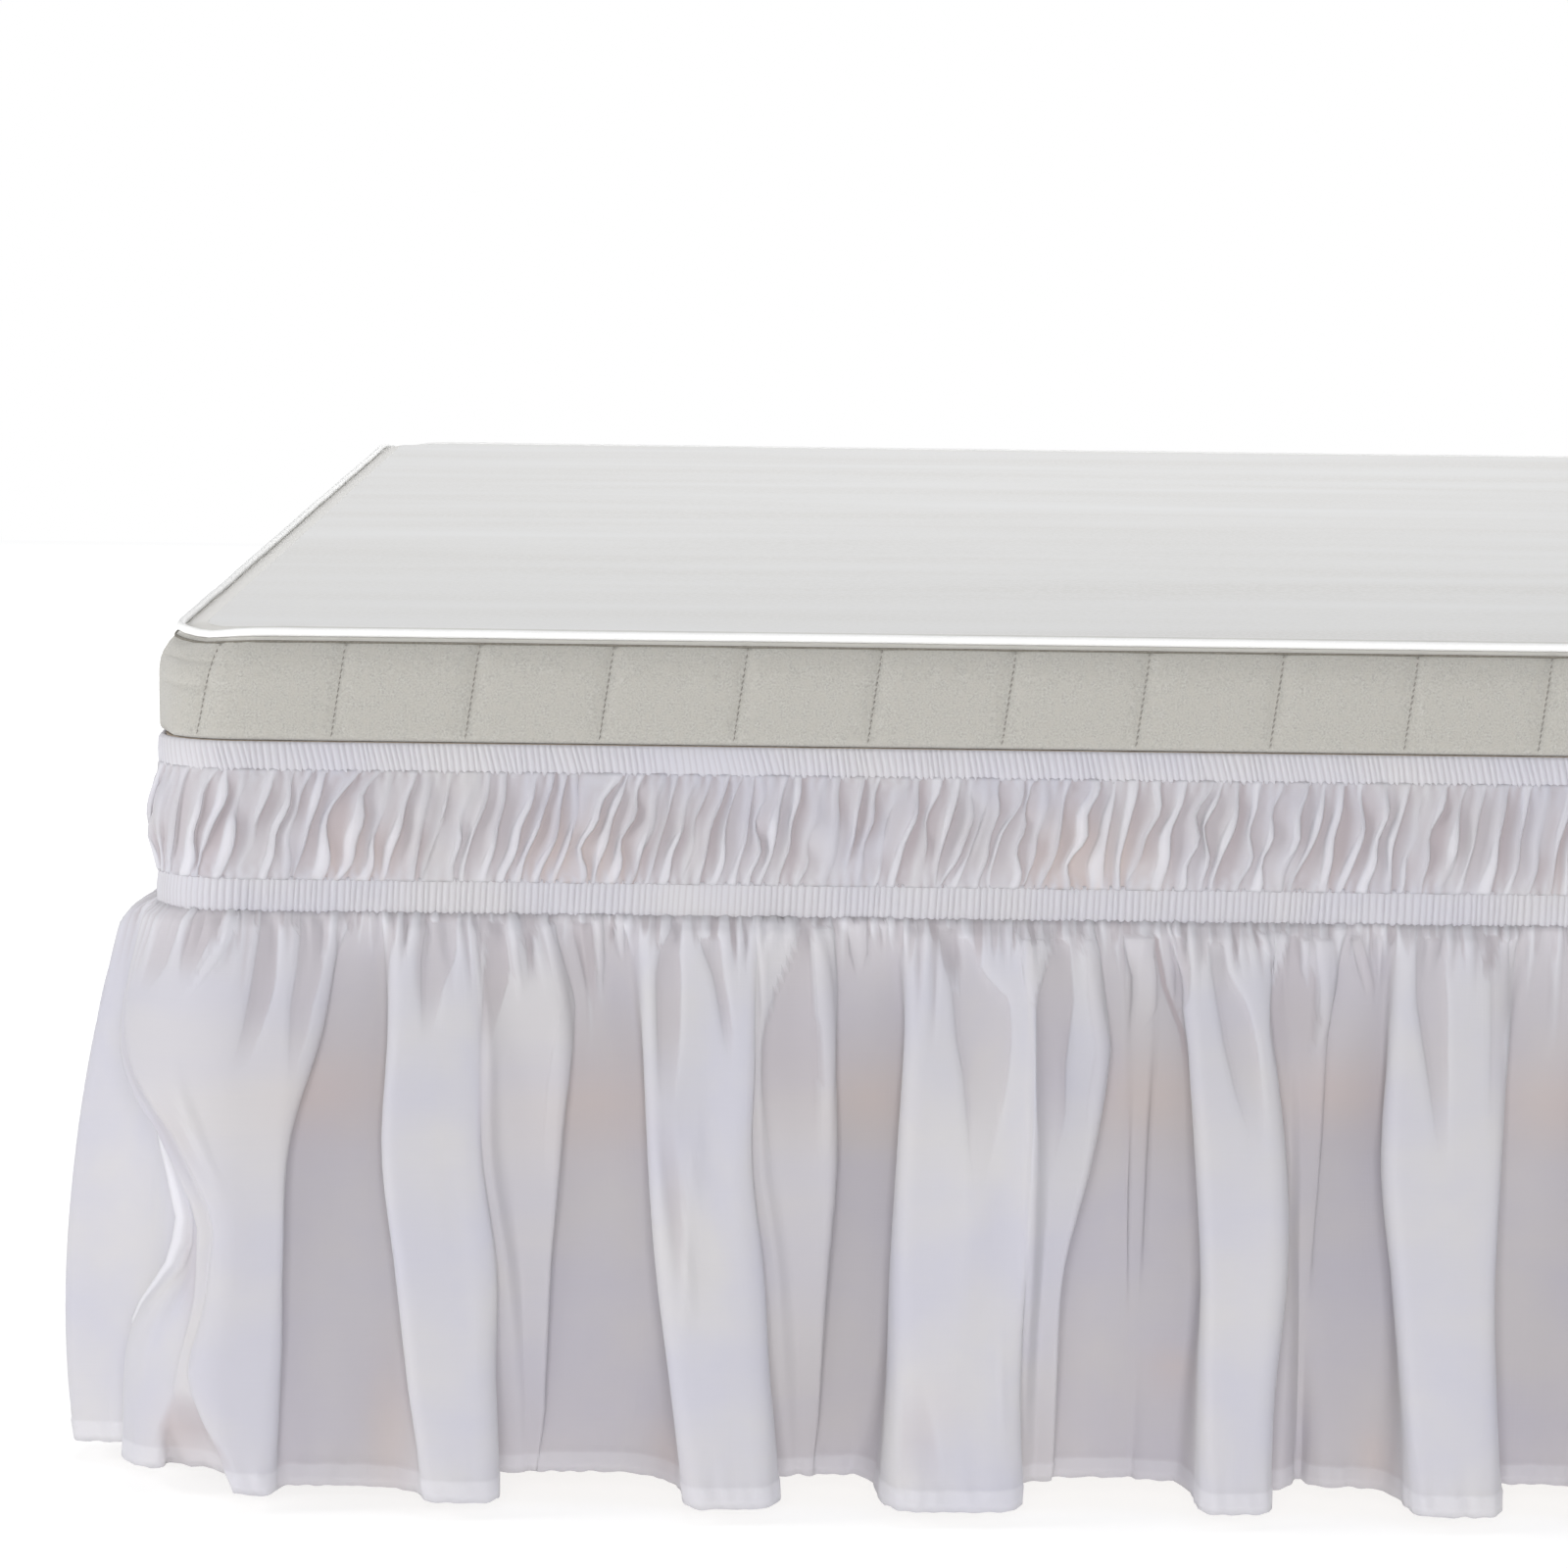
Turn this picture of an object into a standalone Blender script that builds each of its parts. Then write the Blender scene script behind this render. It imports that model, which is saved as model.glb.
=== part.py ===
"""Wrap-around elastic bed skirt on its plain bed.

Metres, +Z up. The foot end faces -Y and the head end +Y. The origin is on the floor,
under the middle of the whole thing.
"""
import math
import random

import bmesh
import bpy

# Bed, a queen size
BED_WIDTH = 1.524
BED_LENGTH = 2.032
BED_CENTRE_Y = 0.0118         # the falls stand out further at the foot end than at the head end
CORNER_RADIUS = 0.045
CORNER_STEPS = 6
SEAT_GAP = 0.0003             # between pieces that touch
SHARP_ANGLE = math.radians(35)

BASE_TOP = 0.4120
BASE_BOTTOM = 0.1900
BASE_INSET = 0.0040           # each side, from the mattress's side
LEG_SIDE = 0.060
LEG_FROM_SIDE = 0.110
LEG_FROM_END = 0.140
LEG_EDGE = 0.004

MATTRESS_HEIGHT = 0.0600
MATTRESS_TOP_ROUND = 0.0140
MATTRESS_FOOT_ROUND = 0.0040
PIPING_RADIUS = 0.0038
PIPING_LEAN = math.radians(60)   # where it sits on the rounded top edge

# Skirt, from the top down
TOP_CASING_HEIGHT = 0.0160
TOP_CASING_THICK = 0.0030
PUFF_HEIGHT = 0.0565
LOWER_CASING_HEIGHT = 0.0195
LOWER_CASING_THICK = 0.0042
HEM_CLEARANCE = 0.0100        # mean height of the hem over the floor
HEM_HEIGHT = 0.0110
HEM_UNEVEN = 0.0020           # a fold's hem hangs lower, a valley's higher
CLOTH_THICK = 0.0010
HEM_THICK = 0.0018
ELASTIC_THICK = 0.0015
HEAD_WRAP = 0.0420            # cloth past each corner on to the head end

# Puffed band: reach is out from the base's side
PUFF_STEP = 0.0230            # from a gather's ridge to its furrow
PUFF_SHIFT = 0.0045           # how far a ridge strays along the band
PUFF_DEPTH = (0.55, 1.25)     # how uneven the gathers are
PUFF_ROWS = (
    # share of the way down, mean reach, gather depth, lean round the bed
    (0.00, 0.0038, 0.0004, 0.0060),
    (0.34, 0.0092, 0.0044, 0.0020),
    (0.68, 0.0096, 0.0046, -0.0030),
    (1.00, 0.0040, 0.0004, -0.0060),
)

# Falls: how each fold runs from the casing (top) by the waist to the hem
WAIST = 0.42                  # share of the way down
VALLEY_REACH = (0.0024, 0.0046, 0.0062)          # top, waist, hem
VALLEY_PLACE = (0.50, 0.45, 0.28)                # across the gap: deepest nearer the left
CLOSE_LEFT = (0.25, 0.90, 0.40)                  # how far a fold closes in behind each
CLOSE_RIGHT = (0.25, 0.95, 1.05)                 # of its sides: top, waist, hem
FALL_ROWS = (0.0, 0.09, 0.26, 0.50, 0.76)        # shares of the way down to the hem's top
MAIN_STEPS = 8                                   # faces across a main fold
SMALL_STEPS = 4                                  # and across one that fades
SMALLEST_GAP = 0.0070         # between the sides of two folds
FULL_VALLEY = 0.0300          # folds that are this far apart have a full valley between them

# The foot fall's left half. Edges are in mm to the right of the bed's left side,
# and reach is in mm out from a valley, each at the top, the waist and the hem.
FOOT_FOLDS = (
    # name,    left edge,       right edge,      reach,       faces across
    ("corner", (0, -4, -12),    (99, 72, 67),    (5, 32, 44), MAIN_STEPS),
    ("second", (124, 124, 137), (168, 174, 187), (6, 40, 56), MAIN_STEPS),
    ("nook",   (176, 182, 196), (214, 219, 211), (5, 24, 3),  SMALL_STEPS),
    ("third",  (257, 268, 279), (322, 320, 335), (6, 42, 60), MAIN_STEPS),
    ("side",   (331, 330, 345), (364, 364, 366), (5, 24, 3),  SMALL_STEPS),
    ("fourth", (402, 402, 388), (470, 473, 469), (6, 42, 60), MAIN_STEPS),
    ("lap",    (478, 481, 480), (506, 504, 496), (6, 36, 8),  MAIN_STEPS),
    ("notch",  (530, 532, 530), (541, 540, 538), (5, 8, 2),   SMALL_STEPS),
    ("fifth",  (545, 556, 563), (609, 610, 601), (6, 44, 60), MAIN_STEPS),
    ("upper",  (617, 618, 620), (636, 630, 634), (5, 14, 2),  SMALL_STEPS),
    ("sixth",  (670, 658, 669), (738, 732, 724), (6, 42, 58), MAIN_STEPS),
)
FOOT_EDGE_REACH = (0.0054, 0.0100, 0.0230)       # the slit's front edge: top, waist, hem
SIDE_EDGE_REACH = (0.0022, 0.0030, 0.0034)       # the side fall's edge, behind it
SLIT_LAP = 0.0200                                # of the foot fall over the side fall
SIDE_FIRST_FOLD = (0.030, 0.100)                 # after the foot corner, edges in m
SIDE_FIRST_REACH = (0.010, 0.042, 0.050)         # top, waist, hem
SIDE_LAST_FOLD = (-0.012, 0.072)                 # round the head corner
SIDE_LAST_REACH = (0.008, 0.036, 0.042)          # top, waist, hem
SIDE_FOLD_SPACE = (0.050, 0.030)                 # clear of those two, for the folds between
FOOT_FOLD_SPACE = (0.020, 0.020)                 # the same on the foot fall's right half
SHALLOWEST = 0.6                                 # of the lower fold, where two folds meet

# The other folds, by rule
FOLD_PITCH = (0.124, 0.154)
SHORTEST_PITCH = 0.068
FOLD_SHARE = (0.48, 0.60)                        # of the pitch that is fold and not valley
FOLD_SWAY = 0.012
FOLD_SWELL = (0.90, 1.12)                        # uneven width from top to hem
WAIST_REACH = (0.036, 0.044)
HEM_REACH = (0.052, 0.062)
TOP_REACH = 0.006
NOOK_CHANCE = 0.30                               # of a small fading fold beside a main one
NOOK_GAP = 0.008
NOOK_WIDE = (0.024, 0.020, 0.012)                # top, waist, hem
NOOK_REACH = (0.014, 0.022)
NOOK_ENDS = (0.005, 0.002)                       # reach at the top and the hem
FOOT_SEED, LEFT_SEED, RIGHT_SEED, PUFF_SEED = 5, 23, 31, 11

BASE_HALF_WIDTH = BED_WIDTH / 2 - BASE_INSET
BASE_HALF_LENGTH = BED_LENGTH / 2 - BASE_INSET
FOOT_STRAIGHT = BASE_HALF_WIDTH - CORNER_RADIUS
CORNER_ARC = CORNER_RADIUS * math.pi / 2
SIDE_START = FOOT_STRAIGHT + CORNER_ARC
SIDE_END = SIDE_START + 2 * (BASE_HALF_LENGTH - CORNER_RADIUS)
HEAD_START = SIDE_END + CORNER_ARC
CLOTH_END = HEAD_START + HEAD_WRAP
FOOT_FALL_END = SIDE_START + 0.012

TOP_CASING_TOP = BASE_TOP - SEAT_GAP
PUFF_TOP = TOP_CASING_TOP - TOP_CASING_HEIGHT - SEAT_GAP
LOWER_CASING_TOP = PUFF_TOP - PUFF_HEIGHT - SEAT_GAP
FALL_TOP = LOWER_CASING_TOP - LOWER_CASING_HEIGHT - SEAT_GAP


def outline(along, reach):
    """The point that is along metres round the bed from the middle of the foot end, to
    the right where along is positive, and reach metres out from the base's side."""
    side = 1 if along >= 0 else -1
    run = abs(along)
    radius = CORNER_RADIUS + reach
    if run < FOOT_STRAIGHT:
        x, y = run, -BASE_HALF_LENGTH - reach
    elif run < SIDE_START:
        turn = (run - FOOT_STRAIGHT) / CORNER_RADIUS
        x = FOOT_STRAIGHT + radius * math.sin(turn)
        y = CORNER_RADIUS - BASE_HALF_LENGTH - radius * math.cos(turn)
    elif run < SIDE_END:
        x, y = BASE_HALF_WIDTH + reach, CORNER_RADIUS - BASE_HALF_LENGTH + run - SIDE_START
    elif run < HEAD_START:
        turn = (run - SIDE_END) / CORNER_RADIUS
        x = FOOT_STRAIGHT + radius * math.cos(turn)
        y = BASE_HALF_LENGTH - CORNER_RADIUS + radius * math.sin(turn)
    else:
        x, y = FOOT_STRAIGHT - (run - HEAD_START), BASE_HALF_LENGTH + reach
    return side * x, y + BED_CENTRE_Y


def between(low, high, share):
    return low + (high - low) * share


def through(values, share):
    """A smooth run through three values: at the top, the waist and the hem."""
    top, waist, hem = values
    bend = ((waist - top) / WAIST - (hem - top)) / (1 - WAIST)
    return top + (hem - top + bend) * share - bend * share * share


def material(name, colour, roughness):
    made = bpy.data.materials.new(name)
    made.use_nodes = True
    shader = made.node_tree.nodes["Principled BSDF"]
    shader.inputs["Base Color"].default_value = (*colour, 1.0)
    shader.inputs["Roughness"].default_value = roughness
    shader.inputs["Metallic"].default_value = 0.0
    return made


def add_object(name, mesh, finish):
    thing = bpy.data.objects.new(name, mesh)
    mesh.materials.append(finish)
    mesh.shade_smooth()
    mesh.set_sharp_from_angle(angle=SHARP_ANGLE)
    parts.objects.link(thing)
    return thing


def block(name, size, centre, finish, corner=0.0):
    """A block built from a cube, its upright edges rounded where corner is given."""
    shape = bmesh.new()
    bmesh.ops.create_cube(shape, size=1.0)
    bmesh.ops.scale(shape, vec=size, verts=shape.verts)
    if corner:
        upright = [e for e in shape.edges if abs(e.verts[0].co.z - e.verts[1].co.z) > size[2] / 2]
        bmesh.ops.bevel(
            shape, geom=upright, offset=corner, segments=CORNER_STEPS, profile=0.5, affect="EDGES"
        )
    mesh = bpy.data.meshes.new(name)
    shape.to_mesh(mesh)
    shape.free()
    thing = add_object(name, mesh, finish)
    thing.location = centre
    return thing


def sheet(name, rows, finish, thick, hem_rows=0, hem_thick=None):
    """A sheet of cloth through rows of points, with a thicker hem along its last rows."""
    across = len(rows[0])
    points = [point for row in rows for point in row]
    faces = [
        (r * across + c, (r + 1) * across + c, (r + 1) * across + c + 1, r * across + c + 1)
        for r in range(len(rows) - 1)
        for c in range(across - 1)
    ]
    mesh = bpy.data.meshes.new(name)
    mesh.from_pydata(points, [], faces)
    cloth = add_object(name, mesh, finish)
    body = cloth.modifiers.new("Cloth", "SOLIDIFY")
    body.thickness = thick
    body.offset = 0.0
    if hem_rows:
        hem = cloth.vertex_groups.new(name="hem")
        hem.add(range((len(rows) - hem_rows) * across, len(points)), 1.0, "REPLACE")
        body.thickness = hem_thick
        body.vertex_group = hem.name
        body.thickness_vertex_group = thick / hem_thick
    return cloth


def stops(start, end, step):
    """Evenly spaced places from start to end, about a step apart."""
    count = max(1, round((end - start) / step))
    return [between(start, end, i / count) for i in range(count + 1)]


def band_stops():
    """Places round the band: few on the straights, more at each rounded corner."""
    half = [0.0]
    half += stops(FOOT_STRAIGHT, SIDE_START, CORNER_ARC / CORNER_STEPS)
    half += stops(SIDE_END, HEAD_START, CORNER_ARC / CORNER_STEPS)
    half.append(CLOTH_END)
    return [-place for place in reversed(half[1:])] + half


def casing(name, top, height, thick, finish):
    """A flat ribbon of cloth over elastic, standing on edge round three sides and the
    head corners."""
    middle = SEAT_GAP + thick / 2
    rows = [
        [(*outline(place, middle), z) for place in band_stops()]
        for z in (top, top - height)
    ]
    return sheet(name, rows, finish, thick)


def head_elastic(name, top, height, finish):
    """Bare elastic across the head end, from casing to casing."""
    reach = FOOT_STRAIGHT - HEAD_WRAP - SEAT_GAP
    y = BASE_HALF_LENGTH + SEAT_GAP + ELASTIC_THICK / 2 + BED_CENTRE_Y
    size = (2 * reach, ELASTIC_THICK, height)
    return block(name, size, (0, y, top - height / 2), finish)


def puffed_band(finish):
    """The gathered layer between the casings, out in a soft bulge."""
    places = stops(-CLOTH_END, CLOTH_END, PUFF_STEP)
    uneven = random.Random(PUFF_SEED)
    shift = [uneven.uniform(-PUFF_SHIFT, PUFF_SHIFT) for _ in places]
    depth = [uneven.uniform(*PUFF_DEPTH) * (1 if i % 2 else -1) for i in range(len(places))]
    shift[0] = shift[-1] = 0.0
    rows = []
    for share, reach, gather, lean in PUFF_ROWS:
        z = PUFF_TOP - share * PUFF_HEIGHT
        row = []
        for i, place in enumerate(places):
            inside = 0 < i < len(places) - 1
            along = place + (shift[i] + lean if inside else 0.0)
            row.append((*outline(along, reach + gather * depth[i]), z))
        rows.append(row)
    return sheet("puffed_band", rows, finish, CLOTH_THICK)


def folds_by_rule(start, end, seed):
    """Main folds, uneven in place, width and sway, some with a small fold beside them
    that fades before the hem. A fold is its left edge, right edge and reach, each at the
    top, the waist and the hem, in metres, and the faces across it."""
    uneven = random.Random(seed)
    folds = []
    place = start
    while place < end - SHORTEST_PITCH:
        pitch = min(uneven.uniform(*FOLD_PITCH), end - place)
        wide = pitch * uneven.uniform(*FOLD_SHARE)
        sway = [uneven.uniform(-FOLD_SWAY, FOLD_SWAY) for _ in range(3)]
        swell = [uneven.uniform(*FOLD_SWELL) for _ in range(3)]
        left = tuple(place + sway[k] for k in range(3))
        right = tuple(left[k] + wide * swell[k] for k in range(3))
        reach = (TOP_REACH, uneven.uniform(*WAIST_REACH), uneven.uniform(*HEM_REACH))
        folds.append((left, right, reach, MAIN_STEPS))
        spare = place + pitch - max(right)
        if uneven.random() < NOOK_CHANCE and spare > NOOK_GAP * 2 + NOOK_WIDE[0]:
            near = tuple(edge + NOOK_GAP for edge in right)
            far = tuple(near[k] + NOOK_WIDE[k] for k in range(3))
            faded = (NOOK_ENDS[0], uneven.uniform(*NOOK_REACH), NOOK_ENDS[1])
            folds.append((near, far, faded, SMALL_STEPS))
        place += pitch
    return folds


def clear_gaps(folds, start, end):
    """Keeps each fold's sides a little apart from its neighbours' at all heights."""
    cleared = []
    limit = [start + SMALLEST_GAP] * 3
    for left, right, reach, steps in folds:
        new_left = tuple(max(left[k], limit[k]) for k in range(3))
        new_right = tuple(
            min(max(right[k], new_left[k] + SMALLEST_GAP), end - SMALLEST_GAP) for k in range(3)
        )
        cleared.append((new_left, new_right, reach, steps))
        limit = [edge + SMALLEST_GAP for edge in new_right]
    return cleared


def fall_section(folds, start, end, edge_reach, share):
    """The fall's section at one height: (along, reach) points, first edge to last. Each
    fold is one turn of a meander: out from a valley, over, and back into the next."""
    lefts, rights, reaches = ([through(fold[k], share) for fold in folds] for k in range(3))
    floor = through(VALLEY_REACH, share)
    closing = [min(1.0, through(sides, share)) for sides in (CLOSE_LEFT, CLOSE_RIGHT)]
    valleys = [(start, edge_reach[0])]
    for i in range(len(folds) - 1):
        gap = lefts[i + 1] - rights[i]
        shallow = max(0.0, 1 - gap / FULL_VALLEY)
        lift = min(reaches[i], reaches[i + 1]) * SHALLOWEST * shallow
        place = rights[i] + gap * through(VALLEY_PLACE, share)
        valleys.append((place, floor + lift))
    valleys.append((end, edge_reach[1]))
    section = [valleys[0]]
    for i, fold in enumerate(folds):
        crest = (lefts[i] + rights[i]) / 2
        turns = (valleys[i][0], lefts[i], crest, rights[i], valleys[i + 1][0])
        for step in range(1, fold[3] + 1):
            quarter = 4 * step / fold[3]
            k = min(3, int(quarter))
            side = 0 if quarter <= 2 else 1
            half = turns[2 + 2 * side] - turns[2 * side]
            along = between(turns[k], turns[k + 1], quarter - k)
            along += closing[side] * half / 4 * math.sin(math.pi * quarter)
            rise = (1 - math.cos(math.pi / 2 * quarter)) / 2
            section.append((along, between(valleys[i + side][1], floor + reaches[i], rise)))
    return section


def fall(name, folds, start, end, edge_reaches, finish):
    """A gathered panel that hangs from the lower casing in folds down to its hem."""
    folds = clear_gaps(folds, start, end)
    rows = []
    drop = FALL_TOP - HEM_CLEARANCE
    hem_share = 1 - HEM_HEIGHT / drop
    for share in [part * hem_share for part in FALL_ROWS] + [hem_share, 1.0]:
        edges = [through(reach, share) for reach in edge_reaches]
        section = fall_section(folds, start, end, edges, share)
        low = min(reach for _, reach in section)
        high = max(reach for _, reach in section)
        row = []
        for along, reach in section:
            out = (reach - low) / (high - low)
            sink = HEM_UNEVEN * (1 - 2 * out) * share
            row.append((*outline(along, reach), FALL_TOP - drop * share + sink))
        rows.append(row)
    return sheet(name, rows, finish, CLOTH_THICK, 2, HEM_THICK)


def mirrored(fold):
    """The same fold on the other side of the bed."""
    left, right, reach, steps = fold
    return tuple(-edge for edge in right), tuple(-edge for edge in left), reach, steps


def foot_fall(finish):
    """The foot end's fall: the table's folds, then as many by rule, and a last one round
    the right corner like the first."""
    folds = []
    for _, left, right, reach, steps in FOOT_FOLDS:
        places = [tuple(mm / 1000 - BED_WIDTH / 2 for mm in edge) for edge in (left, right)]
        folds.append((*places, tuple(mm / 1000 for mm in reach), steps))
    last = mirrored(folds[0])
    folds += folds_by_rule(FOOT_FOLD_SPACE[0], min(last[0]) - FOOT_FOLD_SPACE[1], FOOT_SEED)
    folds.append(last)
    edges = (FOOT_EDGE_REACH, FOOT_EDGE_REACH)
    return fall("fall_foot", folds, -FOOT_FALL_END, FOOT_FALL_END, edges, finish)


def side_fall(name, side, seed, finish):
    """One long side's fall. It starts behind the foot fall's edge, and its first fold
    stands out just past the corner."""
    start = FOOT_FALL_END - SLIT_LAP
    first = tuple(SIDE_START + edge for edge in SIDE_FIRST_FOLD)
    last = tuple(SIDE_END + edge for edge in SIDE_LAST_FOLD)
    folds = [((first[0],) * 3, (first[1],) * 3, SIDE_FIRST_REACH, MAIN_STEPS)]
    folds += folds_by_rule(first[1] + SIDE_FOLD_SPACE[0], last[0] - SIDE_FOLD_SPACE[1], seed)
    folds.append(((last[0],) * 3, (last[1],) * 3, SIDE_LAST_REACH, MAIN_STEPS))
    edges = (SIDE_EDGE_REACH, VALLEY_REACH)
    if side > 0:
        return fall(name, folds, start, CLOTH_END, edges, finish)
    folds = [mirrored(fold) for fold in reversed(folds)]
    return fall(name, folds, -CLOTH_END, -start, edges[::-1], finish)


def mattress(finish):
    """A thin mattress: rounded corners, and its top edge rolled over more than its foot."""
    size = (BED_WIDTH, BED_LENGTH, MATTRESS_HEIGHT)
    bottom = BASE_TOP + SEAT_GAP
    centre = (0, BED_CENTRE_Y, bottom + MATTRESS_HEIGHT / 2)
    cover = block("mattress", size, centre, finish, CORNER_RADIUS + BASE_INSET)
    shape = bmesh.new()
    shape.from_mesh(cover.data)
    for level, width in ((1, MATTRESS_TOP_ROUND), (-1, MATTRESS_FOOT_ROUND)):
        height = level * MATTRESS_HEIGHT / 2
        rim = [e for e in shape.edges if all(abs(v.co.z - height) < 1e-5 for v in e.verts)]
        bmesh.ops.bevel(shape, geom=rim, offset=width, segments=4, profile=0.5, affect="EDGES")
    shape.to_mesh(cover.data)
    shape.free()
    cover.data.shade_smooth()
    return cover


def piping(finish):
    """The cord sewn in round the mattress's rounded top edge."""
    away = MATTRESS_TOP_ROUND + PIPING_RADIUS + SEAT_GAP
    inset = MATTRESS_TOP_ROUND - away * math.cos(PIPING_LEAN)
    lift = away * math.sin(PIPING_LEAN) - MATTRESS_TOP_ROUND
    z = BASE_TOP + SEAT_GAP + MATTRESS_HEIGHT + lift
    reach = BASE_INSET - inset
    half = stops(FOOT_STRAIGHT, SIDE_START, CORNER_ARC / CORNER_STEPS)
    half += stops(SIDE_END, HEAD_START, CORNER_ARC / CORNER_STEPS)
    places = half + [-place for place in reversed(half)]
    curve = bpy.data.curves.new("mattress_piping", "CURVE")
    curve.dimensions = "3D"
    curve.bevel_depth = PIPING_RADIUS
    curve.bevel_resolution = 1
    curve.render_resolution_u = 0
    run = curve.splines.new("POLY")
    run.points.add(len(places) - 1)
    for point, place in zip(run.points, places):
        point.co = (*outline(place, reach), z, 1.0)
    run.use_cyclic_u = True
    curve.materials.append(finish)
    cord = bpy.data.objects.new("mattress_piping", curve)
    parts.objects.link(cord)
    return cord


def bed_base(finish):
    height = BASE_TOP - BASE_BOTTOM
    size = (2 * BASE_HALF_WIDTH, 2 * BASE_HALF_LENGTH, height)
    centre = (0, BED_CENTRE_Y, BASE_BOTTOM + height / 2)
    return block("bed_base", size, centre, finish, CORNER_RADIUS)


def legs(finish):
    height = BASE_BOTTOM - SEAT_GAP
    x = BASE_HALF_WIDTH - LEG_FROM_SIDE
    y = BASE_HALF_LENGTH - LEG_FROM_END
    places = {
        "leg_foot_left": (-x, -y),
        "leg_foot_right": (x, -y),
        "leg_head_left": (-x, y),
        "leg_head_right": (x, y),
        "leg_middle": (0.0, 0.0),
    }
    for name, (leg_x, leg_y) in places.items():
        size = (LEG_SIDE, LEG_SIDE, height)
        block(name, size, (leg_x, leg_y + BED_CENTRE_Y, height / 2), finish, LEG_EDGE)


for old in list(bpy.data.objects):
    bpy.data.objects.remove(old)
parts = bpy.data.collections.new("bed_skirt")
bpy.context.scene.collection.children.link(parts)

white_cloth = material("white_microfibre", (0.80, 0.79, 0.83), 0.85)
white_elastic = material("white_elastic", (0.82, 0.82, 0.82), 0.80)
mattress_cover = material("grey_beige_knit", (0.56, 0.55, 0.50), 0.90)
white_piping = material("white_piping", (0.84, 0.84, 0.82), 0.75)
base_cover = material("beige_cover", (0.55, 0.49, 0.43), 0.90)
leg_wood = material("beech", (0.50, 0.36, 0.22), 0.55)

casing("casing_top", TOP_CASING_TOP, TOP_CASING_HEIGHT, TOP_CASING_THICK, white_cloth)
puffed_band(white_cloth)
casing("casing_lower", LOWER_CASING_TOP, LOWER_CASING_HEIGHT, LOWER_CASING_THICK, white_cloth)
foot_fall(white_cloth)
side_fall("fall_left", -1, LEFT_SEED, white_cloth)
side_fall("fall_right", 1, RIGHT_SEED, white_cloth)
head_elastic("elastic_top", TOP_CASING_TOP, TOP_CASING_HEIGHT, white_elastic)
head_elastic("elastic_lower", LOWER_CASING_TOP, LOWER_CASING_HEIGHT, white_elastic)
mattress(mattress_cover)
piping(white_piping)
bed_base(base_cover)
legs(leg_wood)
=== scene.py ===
"""The looks of a wrap-around elastic bed skirt, fitted round its plain bed.

Metres, +Z up. The foot end of the bed faces -Y and its head end +Y, and +X is to the
right seen from the foot end. The origin is on the floor, under the middle of it all.
"""
import math
import random
from collections import namedtuple

import bpy
import numpy as np
from mathutils import Matrix, Vector


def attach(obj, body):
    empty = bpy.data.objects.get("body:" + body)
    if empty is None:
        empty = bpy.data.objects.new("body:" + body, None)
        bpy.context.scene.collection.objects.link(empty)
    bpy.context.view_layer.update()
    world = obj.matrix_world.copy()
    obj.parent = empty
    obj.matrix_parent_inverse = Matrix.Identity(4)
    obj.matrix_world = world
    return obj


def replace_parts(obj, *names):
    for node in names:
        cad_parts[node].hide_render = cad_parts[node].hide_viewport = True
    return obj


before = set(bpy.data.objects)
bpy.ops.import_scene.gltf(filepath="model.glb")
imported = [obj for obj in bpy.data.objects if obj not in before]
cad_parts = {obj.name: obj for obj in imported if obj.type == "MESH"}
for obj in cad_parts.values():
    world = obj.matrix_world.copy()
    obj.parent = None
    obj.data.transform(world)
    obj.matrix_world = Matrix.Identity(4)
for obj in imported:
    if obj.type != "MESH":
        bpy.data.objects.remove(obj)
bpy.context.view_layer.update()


# Camera. The picture was taken from well back with a long lens, from a little above the
# mattress, in front of the middle of the bed's left half. It is a touch out of level.
CAMERA_PLACE = (-0.421, -4.804, 0.765)
CAMERA_TILT = math.radians(5.6)  # down from level
CAMERA_ROLL = math.radians(0.72)
LENS_MM = 162.8

camera_data = bpy.data.cameras.new("camera")
camera_data.lens = LENS_MM
camera_data.sensor_width = 36.0
camera_data.clip_end = 60.0
camera = bpy.data.objects.new("camera", camera_data)
bpy.context.scene.collection.objects.link(camera)
camera.location = CAMERA_PLACE
aim = Matrix.Rotation(math.pi / 2 - CAMERA_TILT, 3, "X") @ Matrix.Rotation(CAMERA_ROLL, 3, "Z")
camera.rotation_euler = aim.to_euler()
bpy.context.scene.camera = camera


# Legs. Five square posts of solid beech, planed and oiled, screwed up into the base.
# They stand well in from its sides and show only from the head end, under the base.
LEGS = ("leg_foot_left", "leg_foot_right", "leg_head_left", "leg_head_right", "leg_middle")


def colour(hex_code):
    """An sRGB hex colour as Blender's linear values."""
    shares = [int(hex_code[i:i + 2], 16) / 255 for i in (1, 3, 5)]
    lit = [c / 12.92 if c <= 0.04045 else ((c + 0.055) / 1.055) ** 2.4 for c in shares]
    return (*lit, 1.0)


def fill(tree, node, inputs):
    """Fills a node's inputs with numbers, hex colours or links."""
    for name, value in inputs.items():
        if isinstance(value, bpy.types.NodeSocket):
            tree.links.new(value, node.inputs[name])
        else:
            node.inputs[name].default_value = colour(value) if isinstance(value, str) else value


def add_node(tree, kind, inputs, output=0, **settings):
    """Adds a shader node with its settings and inputs, and gives one of its outputs."""
    made = tree.nodes.new("ShaderNode" + kind)
    for name, value in settings.items():
        setattr(made, name, value)
    fill(tree, made, inputs)
    return made.outputs[output]


def new_material(name, roughness):
    """A material, its node tree and its main shader."""
    made = bpy.data.materials.new(name)
    made.use_nodes = True
    shader = made.node_tree.nodes["Principled BSDF"]
    shader.inputs["Roughness"].default_value = roughness
    return made, made.node_tree, shader


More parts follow.
